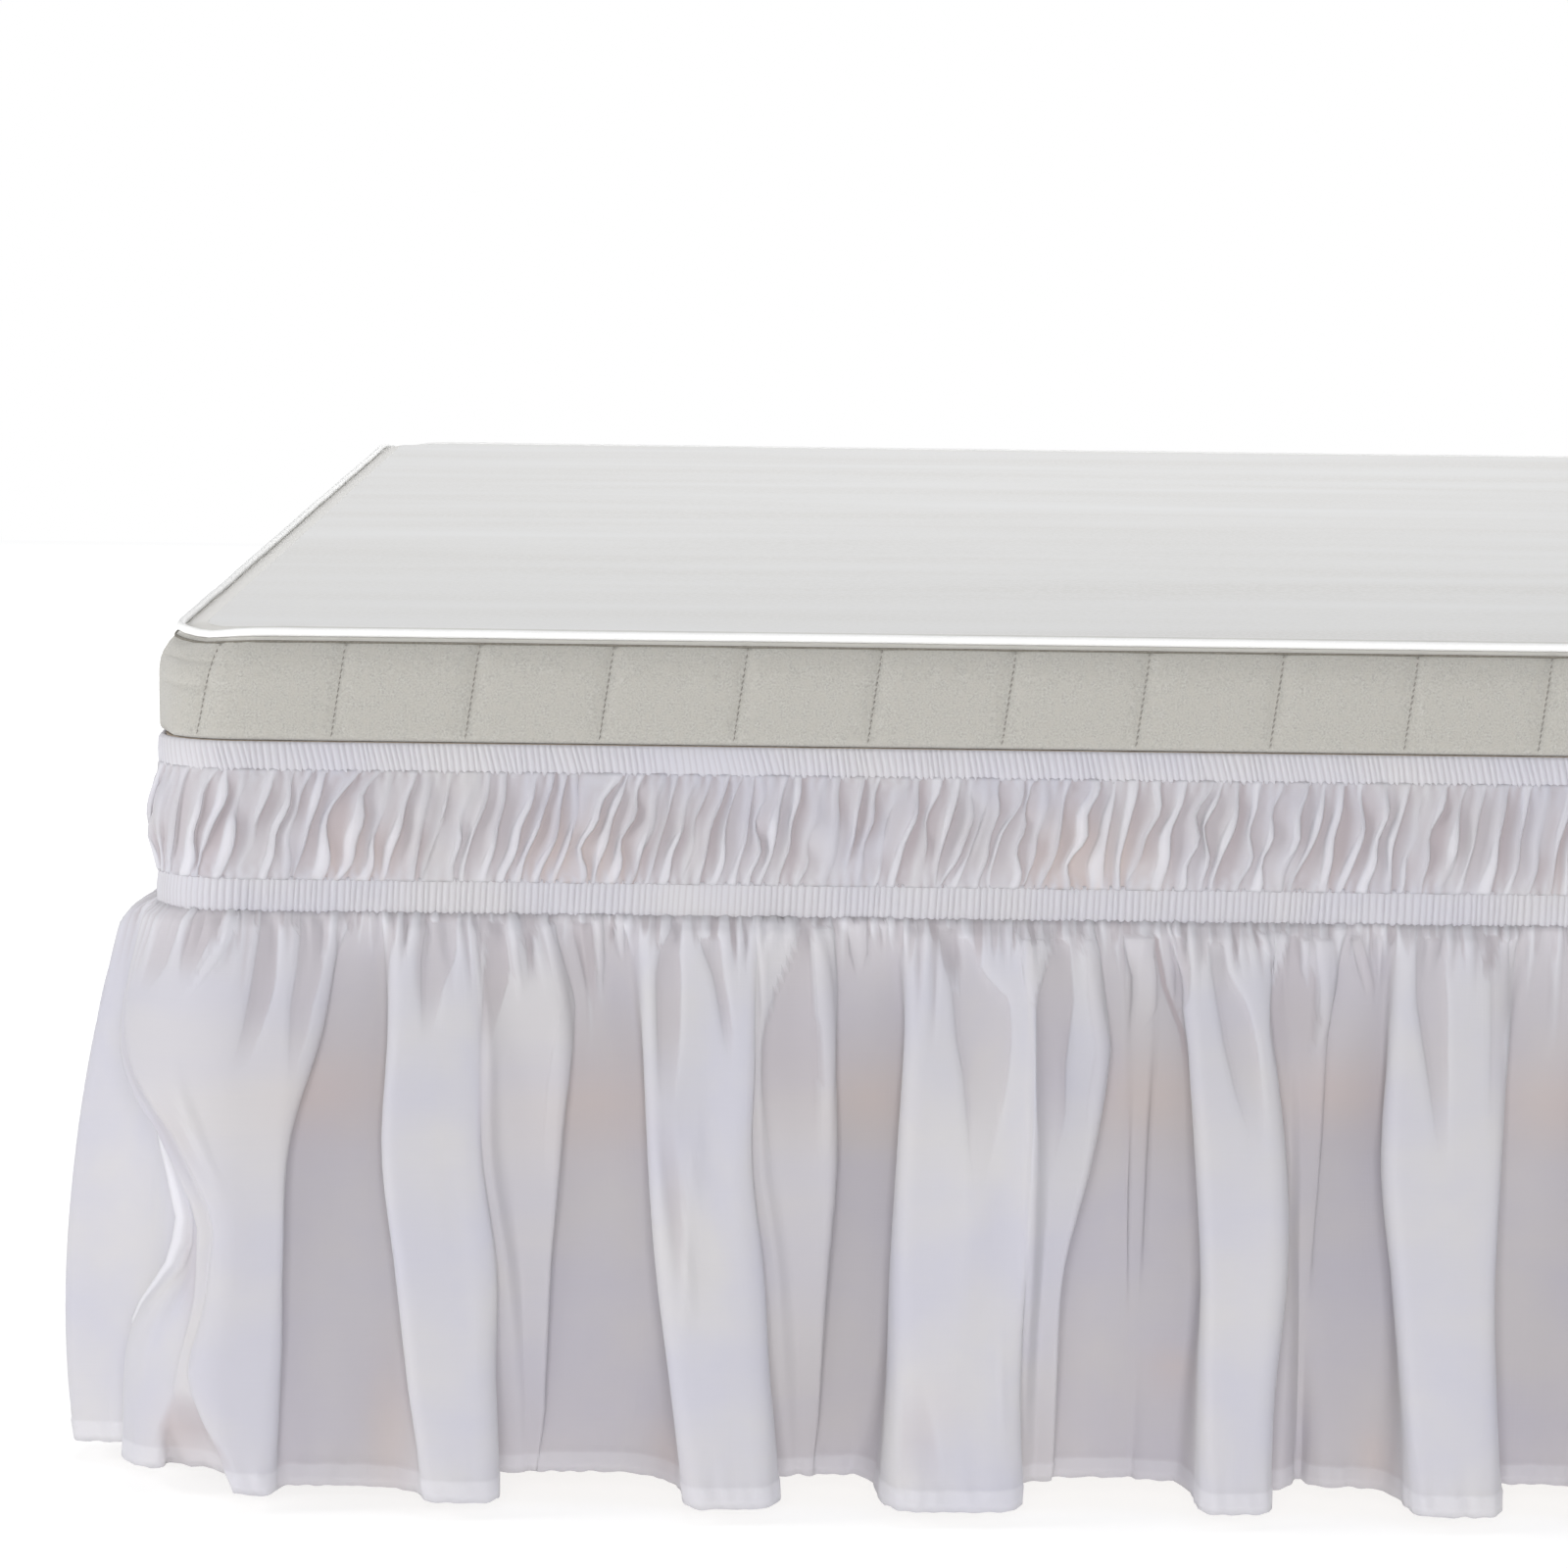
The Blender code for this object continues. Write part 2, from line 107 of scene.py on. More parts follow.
def grain(tree, place, per_metre, detail=2.0):
    """An uneven grain, with so many to the metre along X, Y and Z."""
    spread = add_node(tree, "Mapping", {"Vector": place, "Scale": per_metre})
    return add_node(tree, "TexNoise", {"Vector": spread, "Scale": 1.0, "Detail": detail})


def flecked(tree, place, per_metre, ground, fleck, shown=(0.35, 0.65), detail=2.0):
    """A ground colour with soft flecks of another, and the grain that they follow. A fleck
    starts at the first share of the grain in shown, and is full at the second."""
    grains = grain(tree, place, per_metre, detail)
    full = add_node(tree, "MapRange", {"Value": grains, "From Min": shown[0], "From Max": shown[1]})
    return add_node(tree, "Mix", {0: full, 6: ground, 7: fleck}, 2, data_type="RGBA"), grains


def oiled_beech():
    """Planed beech under oil: a warm pink-brown with grain in streaks of 3 by 60 mm and
    dark flecks of 1 by 7 mm, half matt."""
    made, tree, shader = new_material("oiled_beech", 0.48)
    place = add_node(tree, "TexCoord", {}, "Object")
    wood, streaks = flecked(tree, place, (330, 330, 17), "#C79C6E", "#B78657", detail=4.0)
    wood, _ = flecked(tree, place, (830, 830, 140), wood, "#9A6B42", (0.62, 0.72), 1.0)
    pores = add_node(tree, "Bump", {"Height": streaks, "Distance": 0.00008})
    fill(tree, shader, {"Base Color": wood, "Normal": pores})
    return made


def dress(name, finish):
    """Gives a CAD node's own object its finish."""
    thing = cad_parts[name]
    thing.data.materials.clear()
    thing.data.materials.append(finish)


beech = oiled_beech()
for leg in LEGS:
    dress(leg, beech)


# Bed base. A framed block with a plain cover of beige woven cloth stretched over it.
# The skirt's elastics grip it, and only its head end shows.
def beige_cover():
    """Plain-woven polyester over a frame: matt, with slubs along both threads. The
    threads are drawn 1.6 mm apart, about three times as coarse as real ones, to show."""
    made, tree, shader = new_material("beige_cover", 0.92)
    place = add_node(tree, "TexCoord", {}, "Object")
    warp, weft = grain(tree, place, (630, 630, 83)), grain(tree, place, (71, 71, 630))
    threads = add_node(tree, "Math", {0: warp, 1: weft}, operation="MULTIPLY")
    raised = add_node(tree, "MapRange", {"Value": threads, "From Min": 0.12, "From Max": 0.38})
    cloth = add_node(tree, "Mix", {0: raised, 6: "#A99987", 7: "#C9BBAA"}, 2, data_type="RGBA")
    cloth, _ = flecked(tree, place, (6.7, 6.7, 6.7), cloth, "#BBAB99", (0.4, 0.7))
    relief = add_node(tree, "Bump", {"Height": threads, "Distance": 0.0005})
    fill(tree, shader, {"Base Color": cloth, "Normal": relief})
    return made


dress("bed_base", beige_cover())


# Mattress. A thin foam mattress in a knitted cover: a grey-beige border, quilted by
# upright lines of stitches, and an ivory top panel. A strip of the border's knit, painted
# paler for the light on it, rolls over the foam's rounded top edge, from its seam, a dark
# line of painted shadow, up to the piping.
BED_WIDTH = 1.524
BED_LENGTH = 2.032
BED_CENTRE_Y = 0.0118
CORNER_RADIUS = 0.045
BASE_TOP = 0.4120
BASE_INSET = 0.0040
SEAT_GAP = 0.0003
MATTRESS_HEIGHT = 0.0600
TOP_ROUND = 0.0260
SEAM_TURN = 47  # where its seam lies on the round: degrees up from level
CORNER_SINK = (0.0040, 0.0077)  # how far its top corners sink, and draw in each way
CORNER_SOFT = 0.024  # half the length of edge that does so
FOOT_ROUND = 0.0040
BORDER_BULGE = 0.0012  # foam pressing out between the stitched lines
LINE_PITCH = 0.0722  # from one upright line of stitches to the next
LINE_SHIFT = -0.0114  # of all the lines round the bed
LINE_LEAN = 0.0085  # a line's top is this far to the right of its foot
LINE_PULL = 0.0022
LINE_WIDE = 0.0032  # half of the dimple that the stitches pull in
LINE_COLUMNS = (-0.0190, -0.0090, -0.0042, -0.0018, 0.0, 0.0018, 0.0042, 0.0090, 0.0190)
LINE_STOPS = 0.0080  # this far under the mattress's top
STITCH_PITCH = 0.0034
STITCH_SIZE = (0.0005, 0.0004, 0.0015)  # half sizes: across, out, along
STITCH_SLANT = 0.32  # to the left, for each length down
CORNER_CREASES = (
    # height over the mattress's foot, half height, depth; puckers at each corner, in m
    (0.0425, 0.0012, 0.0026),
    (0.0285, 0.0018, 0.0016),
)
CREASE_RUN = 0.020  # how far they run to each side
PANEL_CROWN = 0.0025
PANEL_STREAKS = (
    # place from the foot end, width, height: soft waves across the top panel, in m
    (0.42, 0.11, 0.0006),
    (0.66, 0.08, -0.0007),
    (0.88, 0.10, 0.0008),
    (1.12, 0.11, -0.0007),
    (1.38, 0.12, 0.0009),
    (1.66, 0.10, -0.0006),
)

BASE_HALF_WIDTH = BED_WIDTH / 2 - BASE_INSET
BASE_HALF_LENGTH = BED_LENGTH / 2 - BASE_INSET
FOOT_STRAIGHT = BASE_HALF_WIDTH - CORNER_RADIUS
CORNER_ARC = CORNER_RADIUS * math.pi / 2
SIDE_START = FOOT_STRAIGHT + CORNER_ARC
SIDE_END = SIDE_START + 2 * (BASE_HALF_LENGTH - CORNER_RADIUS)
HEAD_START = SIDE_END + CORNER_ARC
HALF_ROUND = HEAD_START + FOOT_STRAIGHT
MATTRESS_FOOT = BASE_TOP + SEAT_GAP
MATTRESS_TOP = MATTRESS_FOOT + MATTRESS_HEIGHT
# Painted light on the strip over the top edge: heights where its paler colour starts, and where it is
# full.
PAINTED_LIGHT_STRIP = (MATTRESS_TOP - 0.0075, MATTRESS_TOP - 0.0050)  # heights where it starts, is full
SLACK_KNIT = (MATTRESS_TOP - 0.0060, MATTRESS_TOP - 0.0095)  # and where loops start to stand up


def outline(along, reach):
    """x and y of the point that is along metres round the bed from the middle of the
    foot end, to the right where along is positive, and reach metres out from the base."""
    side = np.where(along < 0, -1.0, 1.0)
    run = np.abs(along)
    turn = np.clip(run - FOOT_STRAIGHT, 0, CORNER_ARC) + np.clip(run - SIDE_END, 0, CORNER_ARC)
    turn = turn / CORNER_RADIUS
    up_side = np.clip(run - SIDE_START, 0, SIDE_END - SIDE_START)
    across = np.minimum(run, FOOT_STRAIGHT) - np.maximum(run - HEAD_START, 0)
    x = across + (CORNER_RADIUS + reach) * np.sin(turn)
    y = up_side - (BASE_HALF_LENGTH - CORNER_RADIUS) - (CORNER_RADIUS + reach) * np.cos(turn)
    return side * x, y + BED_CENTRE_Y


def round_bed(along):
    """The same place, counted from the middle of the foot end the shorter way round."""
    return (along + HALF_ROUND) % (2 * HALF_ROUND) - HALF_ROUND


def soften_corners(x, y, z):
    """Sinks and draws in the mattress's top corners, where the foam is squeezed least."""
    middle = CORNER_RADIUS * (1 - math.sqrt(0.5))
    to_x = BED_WIDTH / 2 - middle - np.abs(x)
    to_y = BED_LENGTH / 2 - middle - np.abs(y - BED_CENTRE_Y)
    near = np.exp(-(to_x ** 2 + to_y ** 2) / CORNER_SOFT ** 2)
    near = near * np.clip((z - MATTRESS_FOOT) / MATTRESS_HEIGHT, 0, 1.1) ** 3
    sink, draw = CORNER_SINK
    x = x - np.sign(x) * draw * near
    y = y - np.sign(y - BED_CENTRE_Y) * draw * near
    return np.stack([x, y, z - sink * near], -1)


def grid_faces(rows, columns, ring=False, tube=False, first=0):
    """Four-sided faces over rows of points that run from top to foot. A ring joins the
    last column to the first, and a tube the last row to the first."""
    r, c = np.meshgrid(
        np.arange(rows if tube else rows - 1), np.arange(columns if ring else columns - 1),
        indexing="ij",
    )
    below, beside = (r + 1) % rows, (c + 1) % columns
    corners = (r * columns + c, below * columns + c, below * columns + beside, r * columns + beside)
    return (np.stack(corners, -1).reshape(-1, 4) + first).tolist()


def add_piece(name, points, faces, finishes, slot, face_finish=None, marks=None):
    """A smooth mesh that rides on the bed. marks are kept on its points by name, three
    numbers each."""
    mesh = bpy.data.meshes.new(name)
    mesh.from_pydata(np.reshape(points, (-1, 3)).tolist(), [], faces)
    for finish in finishes:
        mesh.materials.append(finish)
    if face_finish:
        mesh.polygons.foreach_set("material_index", face_finish)
    for mark, values in (marks or {}).items():
        kept = mesh.attributes.new(mark, "FLOAT_VECTOR", "POINT")
        kept.data.foreach_set("vector", values.astype(np.float32).ravel())
    mesh.shade_smooth()
    mesh.update()
    piece = bpy.data.objects.new(name, mesh)
    bpy.context.scene.collection.objects.link(piece)
    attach(piece, "root")
    return piece


def border_profile():
    """The border's section from the seam at the piping down to the mattress's foot:
    height, and reach out from the base's side."""
    turns = np.radians([90, 80, 70, 62, 54, SEAM_TURN, 36, 24, 12])
    heights = MATTRESS_TOP - TOP_ROUND * (1 - np.sin(turns))
    side = np.linspace(MATTRESS_TOP - TOP_ROUND, MATTRESS_FOOT + FOOT_ROUND, 9)
    for rise, half, _ in CORNER_CREASES:
        side = np.append(side, MATTRESS_FOOT + rise + half * np.array([-1.3, 0, 1.3]))
    heights = np.sort(np.concatenate([heights, side]))[::-1]
    over = np.maximum(heights - (MATTRESS_TOP - TOP_ROUND), 0)
    reaches = BASE_INSET - TOP_ROUND + np.sqrt(TOP_ROUND ** 2 - np.minimum(over, TOP_ROUND) ** 2)
    foot = [
        (MATTRESS_FOOT + FOOT_ROUND * (1 - math.sin(a)), BASE_INSET - FOOT_ROUND * (1 - math.cos(a)))
        for a in np.linspace(0.0, math.pi / 2, 5)[1:]
    ]
    return np.array([*zip(heights, reaches), *foot, (MATTRESS_FOOT, BASE_INSET - 0.020)])


def mattress_border():
    """The border's points, row by row, with each line of stitches pulled in; and each
    line's place and how hard it is pulled."""
    height, reach = border_profile().T[:, :, None]
    count = round(2 * HALF_ROUND / LINE_PITCH)
    pitch = 2 * HALF_ROUND / count
    lines = -HALF_ROUND + pitch * (np.arange(count) + 0.5) + LINE_SHIFT
    along = (lines[:, None] + np.array(LINE_COLUMNS) * pitch / LINE_PITCH).ravel()
    nearest = np.tile(LINE_COLUMNS, count)
    level = (height - MATTRESS_FOOT) / MATTRESS_HEIGHT
    pulls = np.random.default_rng(3).uniform(0.7, 1.2, count)
    dimple = LINE_PULL * np.repeat(pulls, len(LINE_COLUMNS)) * np.exp(-(nearest / LINE_WIDE) ** 2)
    bulge = BORDER_BULGE * (nearest / (pitch / 2)) ** 2
    out = reach + np.clip(4 * level * (1 - level), 0, 1) * (bulge - dimple)
    place = round_bed(along + LINE_LEAN * (level - 0.5))
    corner = np.minimum(
        np.abs(np.abs(place) - (FOOT_STRAIGHT + SIDE_START) / 2),
        np.abs(np.abs(place) - (SIDE_END + HEAD_START) / 2),
    )
    for rise, half, depth in CORNER_CREASES:
        crease = np.exp(-((height - MATTRESS_FOOT - rise) / half) ** 2)
        out = out - depth * crease * np.exp(-(corner / CREASE_RUN) ** 2)
    x, y = outline(place, out)
    return soften_corners(x, y, height + 0 * x), lines, pulls


def mattress_panel():
    """The top panel's points: a slightly crowned sheet with rounded corners."""
    half_x = BED_WIDTH / 2 - TOP_ROUND
    half_y = BED_LENGTH / 2 - TOP_ROUND
    radius = CORNER_RADIUS + BASE_INSET - TOP_ROUND
    turns = np.linspace(0, math.pi / 2, 6)
    from_end = half_y - radius + radius * np.cos(turns)
    middle = np.linspace(half_y - radius, -(half_y - radius), 121)
    y = np.concatenate([from_end[:-1], middle, -from_end[:-1][::-1]])
    inset = np.maximum(np.abs(y) - (half_y - radius), 0)
    wide = half_x - radius + np.sqrt(np.maximum(radius ** 2 - inset ** 2, 0))
    share = np.linspace(-1, 1, 61)
    x = wide[:, None] * share[None]
    crown = (1 - (x / half_x) ** 2) * (1 - (y[:, None] / half_y) ** 2)
    from_foot = y[:, None] + half_y
    waves = sum(
        height * np.exp(-((from_foot - place - 0.02 * np.sin(3 * x + place * 9)) / (width / 2)) ** 2)
        for place, width, height in PANEL_STREAKS
    )
    z = MATTRESS_TOP + PANEL_CROWN * crown + waves * crown ** 0.5
    return soften_corners(x, y[:, None] + BED_CENTRE_Y + 0 * x, z)


def stitched_lines(lines, pulls):
    """The stitches of the upright lines, sunk with the border: small grains of thread,
    four-sided and pointed at both ends."""
    rows = np.arange(MATTRESS_FOOT + FOOT_ROUND, MATTRESS_TOP - LINE_STOPS, STITCH_PITCH)
    level = (rows - MATTRESS_FOOT) / MATTRESS_HEIGHT
    place = round_bed(lines[:, None] + LINE_LEAN * (level - 0.5))
    over_round = np.maximum(rows - (MATTRESS_TOP - TOP_ROUND), 0)
    round_in = TOP_ROUND - np.sqrt(TOP_ROUND ** 2 - over_round ** 2)
    sunk = LINE_PULL * pulls[:, None] * np.clip(4 * level * (1 - level), 0, 1)
    wide, deep, long = STITCH_SIZE
    x, y = outline(place, BASE_INSET - round_in - sunk + 0.8 * deep)
    centres = soften_corners(x, y, rows + 0 * x).reshape(-1, 3)
    here, ahead = (np.stack([*outline(place + step, BASE_INSET), 0 * x], -1) for step in (0, 0.001))
    sides = (ahead - here).reshape(-1, 3)
    sides /= np.linalg.norm(sides, axis=-1, keepdims=True)
    outs = sides[:, [1, 0, 2]] * (1, -1, 0)
    downs = np.array([0.0, 0.0, -1.0]) - sides * STITCH_SLANT
    points = [centres + outs * deep, centres + sides * wide, centres - outs * deep,
              centres - sides * wide, centres - downs * long, centres + downs * long]
    upper = [(0, 1, 4), (1, 2, 4), (2, 3, 4), (3, 0, 4)]
    grain_faces = np.array(upper + [(b, a, 5) for a, b, _ in upper])
    faces = grain_faces + 6 * np.arange(len(centres))[:, None, None]
    return np.stack(points, 1), faces.reshape(-1, 3).tolist()


def border_knit():
    """Heathered polyester knit over foam: grey-beige, matt and slightly woolly, its
    loops about 1 mm and its darker flecks 4 by 7 mm. The strip over the edge is pulled
    smooth, and painted paler for the light that its rounded top catches."""
    made, tree, shader = new_material("border_knit", 0.95)
    place = add_node(tree, "TexCoord", {}, "Object")
    yarn, loops = flecked(tree, place, (900, 900, 900), "#9A9892", "#B4B2AC", (0.32, 0.68), 3.0)
    yarn, _ = flecked(tree, place, (250, 250, 140), yarn, "#ABA8A1", (0.35, 0.75), 3.0)
    up = add_node(tree, "SeparateXYZ", {"Vector": place}, "Z")
    pale, slack = (
        add_node(tree, "MapRange", {"Value": up, "From Min": start, "From Max": full})
        for start, full in (PAINTED_LIGHT_STRIP, SLACK_KNIT)
    )
    # Painted light: the strip over the rounded top edge is paler.
    yarn = add_node(tree, "Mix", {0: pale, 6: yarn, 7: "#CAC8C3"}, 2, data_type="RGBA")
    relief = add_node(tree, "Bump", {"Strength": slack, "Height": loops, "Distance": 0.00045})
    fill(tree, shader, {"Base Color": yarn, "Normal": relief, "Sheen Weight": 0.25})
    return made


def ivory_knit():
    """Smooth knitted top panel: ivory, matt, with rows of loops along the bed. They are
    drawn 2.5 mm apart, twice as coarse as real ones, to show from the foot end."""
    made, tree, shader = new_material("ivory_knit", 0.93)
    place = add_node(tree, "TexCoord", {}, "Object")
    yarn, loops = flecked(tree, place, (400, 200, 400), "#DCDBD8", "#E3E2E0")
    yarn, _ = flecked(tree, place, (2.0, 9.0, 2.0), yarn, "#E6E6E5", (0.35, 0.75))
    relief = add_node(tree, "Bump", {"Height": loops, "Distance": 0.0002})
    fill(tree, shader, {"Base Color": yarn, "Normal": relief})
    return made


def spun(name, roughness, twists, dark, light):
    """A thread or tape of spun yarn, flecked by so many twists to the metre."""
    made, tree, shader = new_material(name, roughness)
    place = add_node(tree, "TexCoord", {}, "Object")
    yarn, _ = flecked(tree, place, (twists, twists, twists), dark, light, (0.0, 1.0))
    fill(tree, shader, {"Base Color": yarn})
    return made


border_points, line_places, line_pulls = mattress_border()
panel_points = mattress_panel()
border_faces = grid_faces(*border_points.shape[:2], ring=True)
panel_faces = grid_faces(*panel_points.shape[:2], first=border_points[..., 0].size)
mattress = add_piece(
    "mattress_cover",
    np.concatenate([border_points.reshape(-1, 3), panel_points.reshape(-1, 3)]),
    border_faces + panel_faces, [border_knit(), ivory_knit()], "mattress_cover",
    [0] * len(border_faces) + [1] * len(panel_faces),
)
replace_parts(mattress, "mattress")

# Spun sewing thread: matt, with a twist of about 0.6 mm, and darkened with painted
# shade of the holes that the stitches sink into.
thread_with_painted_shade = spun("thread_with_painted_shade", 0.8, 1600, "#6E6B65", "#A8A59E")
add_piece("border_stitches", *stitched_lines(line_places, line_pulls), [thread_with_painted_shade], "mattress_cover")


# Piping. A cord in a strip of white woven tape, sewn in all round between the border and
# the top panel. Its seam with the border lies in a shadowed groove under it, drawn as a
# thin dark cord of painted shadow.
PIPING_RADIUS = 0.0023
PIPING_LEAN = 57.5  # where it sits on the rounded top edge: degrees up from level
PIPING_STEP = 0.012
SEAM_DARK = 0.0007  # half height of the seam's shadowed groove


def add_cord(name, radius, stands, lean, sides, uneven, seed, finish):
    """A cord all round the bed, lying on the mattress's rounded top edge lean degrees up
    from level. Its middle stands out from the knit, and wavers by uneven metres."""
    away, turn = TOP_ROUND + stands, math.radians(lean)
    count = round(2 * HALF_ROUND / PIPING_STEP)
    along = -HALF_ROUND + 2 * HALF_ROUND * np.arange(count) / count
    round_it = 2 * math.pi * np.arange(sides)[:, None] / sides
    waver = np.random.default_rng(seed).normal(0, 1, count)
    waver = uneven * np.convolve(np.tile(waver, 3), np.ones(9) / 9, "same")[count:2 * count]
    out = BASE_INSET - TOP_ROUND + away * math.cos(turn) + radius * np.cos(round_it) + waver
    z = MATTRESS_TOP - TOP_ROUND + away * math.sin(turn) + radius * np.sin(round_it) + 0.6 * waver
    x, y = outline(along + 0 * out, out)
    faces = grid_faces(sides, count, ring=True, tube=True)
    return add_piece(name, soften_corners(x, y, z)[::-1], faces, [finish], "piping")


# Woven white tape, taut over a cord: bright and matt, its twill drawn as flecks 1 mm
# wide to show.
white_tape = spun("white_tape", 0.7, 1000, "#E6E6E4", "#F2F2F1")
piping = add_cord(
    "piping", PIPING_RADIUS, PIPING_RADIUS + SEAT_GAP, PIPING_LEAN, 12, 0.0004, 5, white_tape
)
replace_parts(piping, "mattress_piping")

# The seam under the piping: a thin cord of painted shadow in its groove, coloured as
# dark grey-brown overlocked thread, its stitches about 1.5 mm long.
shadowed_thread = spun("shadowed_thread", 0.9, 670, "#57534B", "#8A867C")
add_cord("piping_seam_shadow", SEAM_DARK, 0.2 * SEAM_DARK, SEAM_TURN, 6, 0.0002, 8, shadowed_thread)


# Top casing. The skirt's upper edge, folded over an elastic and shirred on it, so that it
# stands in fine upright ribs that slant a little. It grips the base just under the mattress.
TOP_CASING_TOP = BASE_TOP - SEAT_GAP
TOP_CASING_HEIGHT = 0.0160
HEAD_WRAP = 0.0420
CLOTH_END = HEAD_START + HEAD_WRAP
RIB_PITCH = 0.0034
RIB_DEPTH = 0.0013
RIB_COLUMNS = 4
# How ribs differ, as shares of the usual: their pitch, depth, slant, and how far they end.
RIB_PITCHES, RIB_DEPTHS, RIB_SLANTS, RIB_ENDS = (0.75, 1.25), (0.6, 1.15), (0.6, 1.4), (0.2, 1.6)
TOP_RIB_SLANT = 0.0030  # a rib's foot is this far to the right of its top
# Share of the way down, reach out from the base: a soft roll over the elastic.
TOP_CASING_SECTION = ((0.0, 0.0026), (0.12, 0.0038), (0.5, 0.0040), (0.88, 0.0038), (1.0, 0.0032))
SCALLOP = 0.0017  # how far the ribs' ends stand out past the furrows
FAR_OUTSIDE = -8.0  # the mm inside a plate's edge, where no plate is near
SMOOTH_STRETCHES = (
    # middle and half width of stretches where the ribs lie almost flat, in m round the bed
    (-0.465, 0.030),
    (-0.752, 0.014),
    (0.310, 0.024),
    (-1.620, 0.034),
    (-2.330, 0.022),
    (1.180, 0.030),
    (2.060, 0.026),
)


def white_microfibre():
    """Brushed polyester microfibre: white with a cool cast, matt, thin enough to let some
    light through. Marks on its points paint light and shade into its colour: how deep in
    painted shade it lies, in valleys, furrows, wedges, nicks and the casings' backs; how
    much painted warm light of the base's cover shows through; and how much whiter it is,
    where it lies double in a hem and where painted light falls on ribs, ridges and the
    falls' tops. The plate marks are the mm inside a plate's edge, its painted shade and
    the mm that it stands out, so that its edge stays crisp.
    Its threads are far too fine to show and are drawn as faint streaks 1.5 mm wide."""
    made, tree, shader = new_material("white_microfibre", 0.88)
    place, painted_light_and_hem, plate = (
        add_node(tree, "Attribute", {}, "Vector", attribute_name=mark)
        for mark in ("place", "painted_light_and_hem", "plate")
    )
    deep, warm, double = (add_node(tree, "SeparateXYZ", {"Vector": painted_light_and_hem}, part) for part in "XYZ")
    inside_mm, shade, stands_mm = (
        add_node(tree, "SeparateXYZ", {"Vector": plate}, part) for part in "XYZ"
    )
    lies = add_node(
        tree, "MapRange", {"Value": inside_mm, "From Min": -0.8, "From Max": 0.8},
        interpolation_type="SMOOTHSTEP",
    )
    step_mm = add_node(tree, "Math", {0: lies, 1: stands_mm}, operation="MULTIPLY")
    deep = add_node(tree, "Mix", {0: lies, 2: deep, 3: shade}, 0, data_type="FLOAT")
    warp, weft = grain(tree, place, (670, 33, 670)), grain(tree, place, (42, 670, 670))
    threads = add_node(tree, "Math", {0: warp, 1: weft}, operation="ADD")
    cloth, _ = flecked(tree, place, (14, 14, 14), "#CDCCD5", "#D4D2D4", detail=3.0)
    # Mixed over the cloth in turn: whiter where it lies double or painted light falls, then painted
    # shade, then painted warm light seen through.
    for share, tone in ((double, "#E4E3E8"), (deep, "#BBB2B6"), (warm, "#D4C5BF")):
        cloth = add_node(tree, "Mix", {0: share, 6: cloth, 7: tone}, 2, data_type="RGBA")
    crease = add_node(tree, "Bump", {"Height": step_mm, "Distance": 0.0002})
    weave = add_node(tree, "Bump", {"Height": threads, "Distance": 0.00006, "Normal": crease})
    fill(tree, shader, {"Base Color": cloth, "Normal": weave, "Sheen Weight": 0.30})
    glow = add_node(tree, "BsdfTranslucent", {"Color": cloth, "Normal": weave})
    sheer = add_node(tree, "MixShader", {"Fac": 0.26, 1: shader.outputs["BSDF"], 2: glow})
    fill(tree, tree.nodes["Material Output"], {"Surface": sheer})
    return made


def summed(steps):
    """The places that steps lead to, from 0."""
    return np.concatenate([[0], np.cumsum(steps)])


def closed_band(front, back):
    """Points and faces of a flat band from its rows in front and behind, with its ends
    closed."""
    points = np.concatenate([front, back])
    rows, columns = points.shape[:2]
    end = [r * columns for r in range(rows)]
    other_end = [corner + columns - 1 for corner in reversed(end)]
    return points, [*grid_faces(rows, columns, tube=True), end, other_end]


